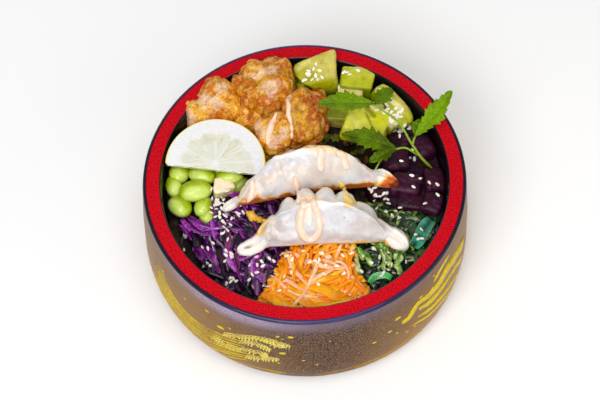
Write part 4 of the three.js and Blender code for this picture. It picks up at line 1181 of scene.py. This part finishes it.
def dumpling(name, at, turn, length, width, height, bow, lean, seed, skirt, pleat, warm, browned, ears):
    """A pinched crescent: a smooth near flank, a thin crest, pleats that bulge on the far side, and an ear at
    each end. browned is how high the fried foot reaches, how dark it is, and whether the right ear is burnt.
    An ear is its length, width, height, how far its tip swings aside and rises, how far its middle hooks
    aside, and how far it is open."""
    cos, sin = math.cos(math.radians(lean)), math.sin(math.radians(lean))
    reach, depth, burnt = browned
    rings, ups, tips = [], [], []
    for s in (*np.linspace(-1, -0.97, 14), *np.linspace(-0.965, 0.965, 162), *np.linspace(0.97, 1, 14)):
        long, wide, high, swing, lift, hook, opened = ears[s > 0]
        start = 1 - 2 * long / length
        e = float(np.clip((abs(s) - start) / (1 - start), 0, 1))
        ear = step(e, 0.0, 0.42)
        blunt = math.sqrt(max(0, 1 - max(0, (e - 0.4) / 0.6) ** (1.15 if burnt and s > 0 else 2.6)))
        inner = min(abs(s) / NECK, 1)
        full = (1 - inner**2.3) ** 0.85
        rise = (1 - inner**2.1) ** 0.95
        bulge = abs(math.sin((s * PLEATS + 0.5) * math.pi / 2)) ** 0.8 - 0.6
        corners = []
        for i, ((across, up), (ear_across, ear_up)) in enumerate(zip(SECTION, EAR)):
            a = across * (max(full * width * 0.5, 14) if i in PINCHED else full * width / 2)
            h = up * max(height * rise, 3.2)
            if i in PLEATED:
                a += (skirt * 0.5 + pleat * bulge) * full
                h += (skirt * 0.3 + pleat * 0.5 * bulge) * full
            if i in CREST:
                a += 0.5 * math.sin(s * 23 + seed) * full
                h += 0.5 * math.sin(s * 17 + 2 * seed) * full
                ear_up = 0.96 - 0.56 * opened * step(e, 0.44, 0.56) * (1 - step(e, 0.7, 0.82))
            a += (math.copysign(FILM, across) - a) * (1 - min(1, full * 4))
            a += (ear_across * wide / 2 - a) * ear
            h += (ear_up * high - h) * ear
            closing = (1 - blunt) * ear
            corners.append((a * (1 - closing), h * (1 - closing * 0.8)))
        a, h = through(corners, ROUND_SIDES, closed=True).T
        h = np.maximum(h, 0)
        ups.append(h / height)
        tips.append(np.full(ROUND_SIDES, math.copysign(e, s)))
        aside = bow * (1 - s * s) + swing * e**1.6 + hook * math.sin(math.pi * e)
        steep = swing * 1.6 * e**0.6 + hook * math.pi * math.cos(math.pi * e)
        turned = ear * math.atan(math.copysign(steep / long, steep * s) * (e > 0) - 4 * bow * s / length)
        out = a * cos + h * sin
        rings.append(np.stack([s * length / 2 - out * math.sin(turned), aside + out * math.cos(turned),
                               h * cos - a * sin + lift * e**1.6], 1))
    points, faces = tube(rings)
    up, tip = np.concatenate(ups), np.concatenate(tips)
    out = normals(points, faces)
    x = points[:, 0]
    near = step(-out[:, 1], 0.0, 0.5)
    far = step(out[:, 1], 0.1, 0.6)
    body = 1 - step(np.abs(tip), 0.1, 0.5)
    # slack creases that hang from the crest down the near flank
    warp = noise(points, 16, seed + 10)
    creases = wander(seed, x / 8 + 0.8 * up + warp, up * 0.9 + 0.6 * warp) ** 2
    thick = step(up, 0.02, 0.2) * (1 - step(up, 0.86, 0.97)) * body
    dents = fractal(points, 11, 2, seed + 1) + 0.35 * fractal(points, 5, 2, seed + 7)
    dents = dents - 1.5 * near * creases * step(up, 0.15, 0.6)
    dents = dents + 0.7 * far * wander(seed + 8, x / 3.4 + warp, up * 0.8)
    rough_ears = 0.25 * (1 - body) * fractal(points, 3.5, 2, seed + 5)
    points = points + out * (thick * dents + rough_ears)[:, None]
    points[:, 2] = np.maximum(points[:, 2], 0)
    # dough, the filling that shows through it, the thin crest, the far side painted lighter as painted light
    # on the pleats, and the fried foot
    belly = step(up, 0.1, 0.3) * (1 - step(up, 0.55, 0.8)) * body
    ragged = up + 0.11 * fractal(points, 6, 3, seed + 4) + reach * step(-tip - 2 * x / length, 0.72, 1.0)
    tone = coats(
        srgb(208, 207, 210),
        ((198, 184, 178), 0.7 * belly * blotches(points, 12, 2, seed + 2, -0.5, 0.5)),
        ((234, 232, 233), step(up, 0.84, 0.94)),
        ((240, 231, 221), 1 - body),
        # painted light: the far side is lighter and warmer
        ((244, 232, 214), 0.75 * far * body),
        ((240, 216, 186), warm * body * blotches(points, 10, 2, seed + 3, -0.3, 0.5)),
        ((240, 190, 110), step(-ragged, -reach, -reach * 0.7)),
        ((152, 68, 10), depth * step(-ragged, -reach * 0.85, -reach * 0.5)),
    )
    if burnt:  # the right-hand ear is fried yellow, and brown at its tip
        crisp = tip + 0.2 * fractal(points, 4, 2, seed + 6) - 0.5 * (step(up, 0.15, 0.4) - 0.5)
        tone = coats(tone, ((242, 202, 110), step(crisp, 0.4, 0.7)), ((208, 96, 8), step(crisp, 0.68, 0.86)),
                     ((118, 40, 12), step(crisp, 0.98, 1.15)))
    points = placed(points, (0, 0, turn), at)
    for x, y, half_wide, half_high, stain, share in STAINS[name]:
        tone = coats(tone, (stain, share * patch(points, x, y, half_wide, half_high, seed + 9)))
    piece(name, points, faces, tone, DOUGH, "dough", [name.replace("steamed_", "")])


# ---- What lies on top ----


def cover(*names):
    """A tree to find the surface of the named pieces with, or of all of them."""
    points, faces = together([PARTS[name] for name in names or PARTS])
    return BVHTree.FromPolygons(points.tolist(), faces.tolist())


def under_sight(tree, x, y):
    """Where the camera's line through a picture point first meets a tree, and which way it faces."""
    hit, normal, _, _ = tree.ray_cast(Vector(EYE), Vector(sight(x, y)))
    if hit is None:
        return None
    normal = np.array(normal)
    return np.array(hit), normal if normal @ sight(x, y) < 0 else -normal


def laid_on(tree, path):
    """A path of picture points laid on a tree: points, and which way it faces under each."""
    seen = [spot for spot in (under_sight(tree, *q) for q in path) if spot]
    line, facing = np.array(seen).reshape(-1, 2, 3).transpose(1, 0, 2)
    return line, facing


def smooth_path(path, density, least):
    """A path of picture points with density points to each of its units."""
    long = np.linalg.norm(np.diff(path, axis=0), axis=1).sum()
    return through(path, max(least, int(long * density)))


def tapered(width, ends, s, run):
    """A width that falls to a share of itself at each end."""
    return width * (1 - (1 - ends[0]) * (1 - step(s, 0, run))) * (1 - (1 - ends[1]) * step(s, 1 - run, 1))


def trail(tree, path, width, thick, taper=(0.5, 0.5)):
    """A thick line of sauce that lies on a surface, seen along a path of picture points."""
    line, facing = laid_on(tree, smooth_path(path, 1.1, 8))
    for _ in range(3):
        line[1:-1] = (line[:-2] + 2 * line[1:-1] + line[2:]) / 4
        facing[1:-1] = unit(facing[:-2] + 2 * facing[1:-1] + facing[2:])
    s = np.linspace(0, 1, len(line))
    w = tapered(width, taper, s, 0.35)
    w = w * (0.25 + 0.75 * np.sqrt(np.clip(np.minimum(s, 1 - s) * len(line) / 3.0, 0, 1)))
    w = w * (1 + 0.12 * noise(line, 4, 71))
    across, over = frame_of(line, facing)
    right = [(1, -0.3), (0.86, 0.02), (0.62, 0.38), (0.33, 0.7)]
    section = [(-a, u) for a, u in right] + [(0, 0.82)] + right[::-1] + [(0, -0.7)]
    w, t = w[:, None], thick * (w / width)[:, None] ** 0.5
    return tube(np.stack([line + across * a * w / 2 + over * u * t for a, u in section], 1))


def sauce():
    """Spicy mayonnaise run over the dumplings and the chicken."""
    peach, amber, cream = (252, 216, 192), (250, 212, 120), (253, 226, 206)
    dumplings = cover("steamed_dumpling_back", "steamed_dumpling_front")
    crust = cover(*(f"fried_chicken_{i}" for i in range(1, 6)))
    food = cover("cabbage_shreds", "steamed_dumpling_front")
    shapes = []
    for tree, width, thick, taper, tone, path in (
        (dumplings, 4.4, 1.3, (0.7, 0.4), peach, [(251.5, 180), (252.5, 188), (250.5, 196), (247.5, 203)]),
        (dumplings, 4.2, 1.5, (0.5, 0.9), peach,
         [(294.5, 176), (296, 183), (297.5, 190), (299, 196), (298, 203)]),
        (dumplings, 5.4, 2.0, (0.9, 0.8), peach,
         [(301, 198), (303.5, 205), (301, 215), (299.5, 226), (303, 236), (309.5, 240), (316.5, 236),
          (320, 226), (318, 215), (314.5, 206), (313.5, 198)]),
        (dumplings, 4.2, 0.8, (0.6, 0.6), cream, [(309, 206), (308.5, 216), (309.5, 227)]),
        (dumplings, 5.6, 1.5, (0.9, 0.7), peach, [(321, 147), (321.5, 155), (320.5, 163), (321.5, 172)]),
        (dumplings, 5.0, 1.1, (0.7, 0.9), peach, [(337, 151), (344, 158), (346.5, 164), (348.5, 169)]),
        (dumplings, 4.4, 1.0, (0.5, 0.6), (255, 216, 160),
         [(303, 148.5), (312, 146.5), (322, 147), (333, 149.5)]),
        (dumplings, 3.8, 1.0, (0.5, 0.9), amber, [(338, 181), (342, 186), (346, 191.5), (348, 197)]),
        (dumplings, 5.6, 1.0, (0.7, 1.0), amber, [(343, 195), (348, 198), (352, 204)]),
        (food, 6.4, 2.4, (0.25, 0.7), (246, 192, 76), [(246, 211), (251, 215), (257, 218.5), (265, 221)]),
        (dumplings, 4.2, 0.9, (0.8, 0.5), (250, 214, 150), [(258, 233), (262, 226), (270, 219)]),
        (crust, 4.0, 1.5, (0.45, 0.7), peach,
         [(277, 112), (273, 121), (269.5, 130), (267.5, 138), (268, 145)]),
        (crust, 3.2, 1.3, (0.9, 0.5), peach,
         [(287, 99), (288.5, 106), (288, 114), (291, 123), (292, 131), (291.5, 139)]),
    ):
        shapes.append((*trail(tree, path, width, thick, taper), srgb(*tone)))
    glossy = surface("sauce", rough=0.26, mottle=(3, 0.05), relief=[(2.0, 0.1)], under=(0.25, 2.0), coat=0.5,
                     coat_rough=0.15)
    piece("mayonnaise_drizzle", *join(shapes), glossy, "dough")


# middle and half size of each scatter of seeds in the picture, and how many fall there
SEEDS = [
    ((222, 203), (11, 14), 36), ((226, 226), (7, 12), 12), ((240, 215), (7, 9), 7),
    ((187, 235), (5, 3), 3), ((216, 260), (34, 22), 19), ((258, 265), (16, 12), 8),
    ((236, 284), (30, 9), 6), ((313, 257), (30, 8), 16), ((304, 273), (40, 18), 10),
    ((368, 257), (16, 14), 8), ((388, 270), (20, 18), 10), ((420, 240), (14, 12), 4),
    ((379, 197), (16, 13), 26), ((387, 215), (14, 10), 8), ((372, 228), (14, 12), 7),
    ((430, 190), (24, 14), 6), ((410, 172), (22, 22), 7), ((402, 130), (9, 8), 10),
    ((314, 74), (18, 14), 15), ((303, 88), (6, 9), 5), ((352, 74), (16, 10), 4),
    ((334, 90), (10, 8), 8), ((386, 110), (10, 12), 12), ((396, 118), (9, 12), 16),
    ((358, 108), (10, 5), 3), ((393, 95), (10, 8), 3),
]


def sesame():
    """Scattered seeds, each lying on whatever is under it."""
    everything = cover()
    bare = ("fried", "lemon", "steamed", "mayonnaise", "herb")
    clean = cover(*(name for name in PARTS if name.startswith(bare)))
    rng = np.random.default_rng(9)
    seed, quads = ball(4)
    seed[:, 1] *= 1 - 0.28 * seed[:, 0]
    seed = seed * (1.55, 0.82, 0.5)
    lowest, reach, upright = 45, 79, 0.15
    shapes = []
    for middle, half, count in SEEDS:
        for _ in range(count):
            seen = under_sight(everything, *(np.clip(rng.normal(0, 0.5, 2), -1, 1) * half + middle))
            if seen is None:
                continue
            at, facing = seen
            if at[2] < lowest or np.hypot(*at[:2]) > reach or facing[2] < upright:
                continue
            if clean.find_nearest(Vector(at))[3] < 1.0:
                continue
            facing = unit(facing + rng.normal(0, 0.25, 3))
            along = unit(np.cross(facing, rng.normal(0, 1, 3)))
            turned = (seed * rng.uniform(0.86, 1.1)) @ np.array([along, np.cross(facing, along), facing])
            tone = coats(srgb(255, 250, 240), ((240, 216, 176), rng.uniform(0, 0.7) ** 1.5))
            shapes.append((turned + at + facing * 0.3, quads, tone))
    hull = surface("sesame_hull", rough=0.4, mottle=(0.8, 0.08), relief=[(0.5, 0.05)], under=(0.2, 0.8),
                   coat=0.2)
    piece("sesame_seeds", *join(shapes), hull, "pale_food")


# ---- Herb ----

# a line, and its thickness at the start and at the end
STALKS = [
    ([(73, 10, 60.5), (67, 14, 65.5), (61, 21, 71.5), (54, 32, 76.5), (40, 42, 80)], 1.7, 1.1),
    ([(62, 19, 69.5), (62.5, 21, 73), (64, 23, 76)], 1.3, 1.1),
    ([(65, 15, 66.5), (58, 17.5, 71), (51, 16, 72)], 1.3, 1.1),
    ([(52, 16, 71.6), (45, 12, 70.4), (40.5, 6, 68.0), (39.5, 2.0, 65.5)], 1.1, 0.9),
]
# base, tip, width, arch, lobes at the end, teeth, fresh share
LEAVES = [
    ((41, 41.5, 80), (9, 44, 78.5), 14, 2, 0.2, 7, 0.65),
    ((41, 41, 80), (52, 52, 78.5), 11, 1, 0.7, 5, 0.35),
    ((63.5, 22, 75.5), (84.5, 38, 96.5), 12.5, -1.5, 0.4, 8, 1.0),
    ((63, 22.5, 75), (67, 33, 76), 8, 1, 0.5, 4, 0.5),
    ((52.5, 16, 72), (22, 26, 73.5), 14, 2.5, 0.3, 7, 0.3),
    ((52.5, 16, 72), (37, 9, 70.5), 9, 1, 0.4, 5, 0.28),
]


def veins(t, share, teeth):
    """How far a point of the blade is from its nearest vein, from 0 to 1."""
    slant = 0.22
    return np.abs(((t - slant * np.abs(share)) * teeth + 0.2) % 1 - 0.5) * 2


def leaf(base, tip, width, arch, lobes, teeth, fresh, seed):
    """A toothed blade with a sunk midrib and veins running out to its teeth."""
    stations, half_cells, thick = 72, 11, 0.35
    start, along = np.array(base, float), np.array(tip, float) - base
    side = unit(np.array([-along[1], along[0], 0]))
    up = np.cross(unit(along), side)
    t = np.linspace(0, 1, stations)
    rising, falling = (np.maximum(t, 0.001) / 0.5) ** 0.8, np.maximum(1 - (t - 0.5) / 0.52, 0) ** 0.7
    spread = np.where(t < 0.5, rising, falling)
    saw = (t * teeth + 0.2) % 1
    notch = 1 + 0.36 * (saw - 0.5) - 0.1 * lobes * np.cos(2 * math.pi * t * teeth / 3)
    toothed = notch * (1 + 0.1 * (((t * teeth * 3) % 1) - 0.5)) - 1
    shares = np.arange(-half_cells, half_cells + 1) / half_cells
    rows = []
    for share in shares:
        out = abs(share)
        half = width / 2 * spread * (1 + toothed * out**3) * (1 + 0.12 * wander(seed, t * 3) * np.sign(share))
        lift = arch * 4 * t * (1 - t) + 0.12 * out * width / 2
        lift = lift + 0.35 * step(veins(t, share, teeth), 0.0, 0.35) * out**0.5
        lift = lift + 0.9 * wander(seed + 1, t * 5, share * 1.5) * out + 0.3 * step(out, 0, 0.12)
        rows.append(start + along * t[:, None] + side * (share * half)[:, None] + up * lift[:, None])
    rows = np.stack(rows, 1)
    points, faces = tube(np.concatenate([rows + up * thick / 2, rows[:, ::-1] - up * thick / 2], 1))
    share = np.tile(np.concatenate([shares, shares[::-1]]), stations)
    under = np.tile(np.repeat([0.0, 1.0], len(shares)), stations)
    vein = veins(np.repeat(t, 2 * len(shares)), share, teeth)
    light = np.maximum(1 - step(vein, 0.02, 0.2), 1 - step(np.abs(share), 0.02, 0.1))
    return points, faces, coats(
        srgb(70, 86, 0),
        ((126, 166, 0), np.clip(fresh + 0.25 * fractal(points, 6, 2, seed + 2), 0, 1)),
        ((150, 190, 40), 0.4 * light * (0.3 + 0.7 * fresh)),
        ((150, 196, 110), 0.45 * under),
    )


def stalk(line, thick, thin):
    """A round stalk along a line, rounded off at its start."""
    path = through(line, 40)
    s = np.linspace(0, 1, len(path))
    radius = (thick + (thin - thick) * s) / 2 * (0.5 + 0.5 * step(s, 0, 0.12))
    across, over = frame_of(path, (0, 0, 1))
    around = circle(10)[::-1]
    points, faces = tube(np.stack([path + (over * y - across * x) * radius[:, None] for x, y in around], 1))
    return points, faces, coats(srgb(112, 140, 20), ((156, 186, 56), step(np.repeat(s, len(around)), 0, 0.4)))


def sprig():
    """A herb sprig: a stalk with side stalks and leaves."""
    shapes = [stalk(*form) for form in STALKS] + [leaf(*form, 80 + 5 * i) for i, form in enumerate(LEAVES)]
    green = surface("herb_leaf", rough=0.42, mottle=(1.4, 0.3), relief=[(0.9, 0.12)], specular=0.12,
                    through_light=0.25)
    piece("herb_sprig", *join(shapes), green, "herb", ["sprig"])


# ---- Gold on the wall ----

RICH, LIGHT = srgb(210, 182, 16), srgb(232, 218, 116)
LEAF_THICK = 0.34
# foam: a line, and how high the curls stand about it
FOAM = [
    ([(224, 334), (240, 337), (256, 338.5), (272, 341.5), (289, 347)], 2.4),
    ([(240, 342), (252, 343.5), (263, 347), (270, 350.5)], 2.0),
    ([(240, 349), (254, 352), (266, 355), (262, 357)], 2.0),
    ([(246, 357), (258, 358.5), (268, 359), (278, 360)], 2.2),
    ([(214, 337), (226, 345), (240, 350)], 3.0),
    ([(262, 340), (276, 346), (284, 346)], 1.4),
]
# bold strokes on the right: a line, its width, and the share of it at each end
STROKES = [
    ([(402, 323), (409, 318), (414, 310), (419, 303), (428, 296), (434, 288)], 6.0, (0.8, 0.9)),
    ([(428, 297), (439, 284), (447, 270), (455, 257), (463, 243)], 10.0, (0.6, 0.9)),
    ([(419, 309), (431, 301), (442, 288), (451, 274), (461, 258)], 6.5, (0.4, 0.9)),
    ([(418, 317), (431, 308), (443, 295), (453, 281), (462, 266)], 5.0, (0.3, 0.9)),
    ([(411, 326), (429, 315), (443, 300), (455, 284)], 3.0, (0.3, 0.8)),
    ([(434, 282), (441, 269), (449, 255)], 3.4, (0.4, 0.4)),
]
# drops: middle, length and slope
SPRAY = [
    (398, 318.4, 7, -0.7), (390, 331.6, 5, -0.6), (374.4, 342.6, 4.5, -0.4), (397, 333, 3, -0.5),
    (407, 331.6, 3, -0.5), (415, 326, 3.5, -0.6), (421, 297, 4.5, -1.2), (434, 275.6, 3, -1.2),
    (185, 298.6, 3.5, 1.0), (207, 311, 5, 0.8), (220.6, 327.4, 8, 0.5), (229.6, 328.4, 3.5, 0.6),
    (277.6, 336.6, 4, 0.2), (282.4, 339, 2.5, 0.2), (290.6, 337.4, 6, 0.1), (282.6, 353.4, 7, 0.1),
    (279, 363, 3, 0.1), (303.6, 360.6, 3, 0), (316.6, 364.6, 2.6, 0), (163, 271, 3, 1.2),
    (330, 341, 2, 0),
]


def gold():
    """Brushed waves with foam at their ends and drops of spray, as on old lacquerware. Each mark is a line of
    points of the picture; the same wave is on the far side of the bowl too."""
    wall = cover("bowl_lacquered")
    rng = np.random.default_rng(4)
    highest, innermost, fewest = 69, 86, 6
    shapes = []

    def brush(path, wide, tone, ends=(0.3, 0.3)):
        line, facing = laid_on(wall, smooth_path(path, 1.2, 10))
        on_wall = (line[:, 2] < highest) & (np.hypot(line[:, 0], line[:, 1]) > innermost)
        line, facing = line[on_wall], facing[on_wall]
        if len(line) < fewest:
            return
        s = np.linspace(0, 1, len(line))
        w = tapered(wide, ends, s, 0.3) * (1 + 0.3 * noise(line, 4, 72))
        shapes.append((*ribbon(line, w, LEAF_THICK, 0 * s, facing, section=SHARP), tone))

    def between(upper, lower, count, wide, tone):
        """Strokes that run side by side from one line to another."""
        n = 24
        a, b = through(upper, n), through(lower, n)
        for share in np.linspace(0, 1, count):
            first, last = rng.integers(0, 4), n - rng.integers(0, 6)
            line = a + (b - a) * share + 0.9 * wander(73, np.arange(n) / 6, share * 5)[:, None]
            brush(line[first:last], wide * rng.uniform(0.7, 1.2), tone)

    def curls(path, high, tone):
        """Lacy foam: fine curls wound along a line."""
        n = 220
        line = through(path, n)
        along, aside = flat_frame(line)
        long = np.linalg.norm(np.diff(line, axis=0), axis=1).sum()
        taper = 0.5 + 0.5 * np.sin(np.linspace(0.5, math.pi - 0.2, n))
        for row in (-0.55, 0.1, 0.75):
            stray = wander(74, np.linspace(0, long / 6, n), 3 * row, 3 * row)
            turn = np.linspace(0, long * 1.7, n) + 9 * row + 4 * stray
            size = 1.15 + 0.55 * stray
            off = aside * (taper * high * (row + 0.3 * stray) + size * np.sin(turn))[:, None]
            off = off + along * (size * np.cos(turn))[:, None]
            brush(line + off, 0.42, tone, (0.8, 0.8))

    # the wave on the left of the front, its foam fingers and the lines under it
    between([(159, 262), (168, 287), (186, 312), (206, 328), (226, 337)],
            [(150, 262), (160, 298), (180, 327), (204, 348), (240, 360)], 12, 1.9, RICH)
    between([(206, 327), (224, 336), (246, 343)], [(206, 346), (228, 356), (256, 362)], 9, 1.6, RICH)
    between([(186, 334), (214, 352), (250, 366), (290, 374)],
            [(178, 330), (208, 356), (246, 371), (286, 377)], 4, 0.9, RICH)
    for path, high in FOAM:
        brush(path, high * 0.9, coats(RICH, ((110, 80, 30), 0.35)))
        curls(path, high, LIGHT)
    # the wave on the right: bold strokes, then fine lines round its foot
    for path, wide, ends in STROKES:
        brush(path, wide, RICH, ends)
    between([(352, 367), (388, 352), (420, 331), (446, 303), (460, 280)],
            [(360, 371), (398, 357), (430, 334), (452, 309), (464, 286)], 9, 0.9,
            coats(RICH, ((176, 104, 20), 0.5)))
    between([(306, 375), (340, 371), (372, 361)], [(306, 378), (342, 375), (376, 365)], 3, 0.9,
            srgb(176, 124, 24))
    s = np.linspace(-1, 1, 9)
    for x, y, long, slope in SPRAY:
        way = np.array([1, slope]) / math.hypot(1, slope) * long / 2
        line, facing = laid_on(wall, (x, y) + way * s[:, None])
        if len(line) == len(s):
            w = 0.33 * long * np.sqrt(np.clip(1 - s**2, 0.04, 1))
            shapes.append((*ribbon(line, w, LEAF_THICK, 0 * s, facing), RICH))
    again = [(p * (-1, -1, 1), f, tone) for p, f, tone in shapes]
    leaf_gold = surface("gold_brushwork", rough=0.42, mottle=(1.2, 0.3), relief=[(0.5, 0.03)], metallic=0.2,
                        specular=0.1)
    piece("gold_waves", *join(shapes + again), leaf_gold, "lacquer")


# ---- The build: what lies on others comes after them ----

for build in (bowl, studio, bed, chicken, avocado, beetroot, pale_chunk, soybeans, cabbage, carrot, seaweed,
              lemon):
    build()
dumpling("steamed_dumpling_back", at=(3.5, -9.7, 62.5), turn=7.4, length=99.5, width=26, height=23.5, bow=15,
         lean=12, seed=3, skirt=-2.5, pleat=1.6, warm=0.4, browned=(0.24, 0.95, True),
         ears=[(9, 6, 4.0, 0.5, 0.5, 0.0, 0.0), (16, 11, 8.0, -0.4, 1.2, 0.0, 0.0)])
dumpling("steamed_dumpling_front", at=(8.7, -40, 62.5), turn=0.4, length=94, width=26, height=25, bow=14.5,
         lean=0, seed=8, skirt=1.5, pleat=3.4, warm=0.05, browned=(0.15, 0.2, False),
         ears=[(18, 10, 4.8, -1.3, 0.8, -3.4, 1.0), (14, 12, 5.6, -4.0, 0.5, 0.0, 0.0)])
for build in (sprig, gold, sauce, sesame):
    build()
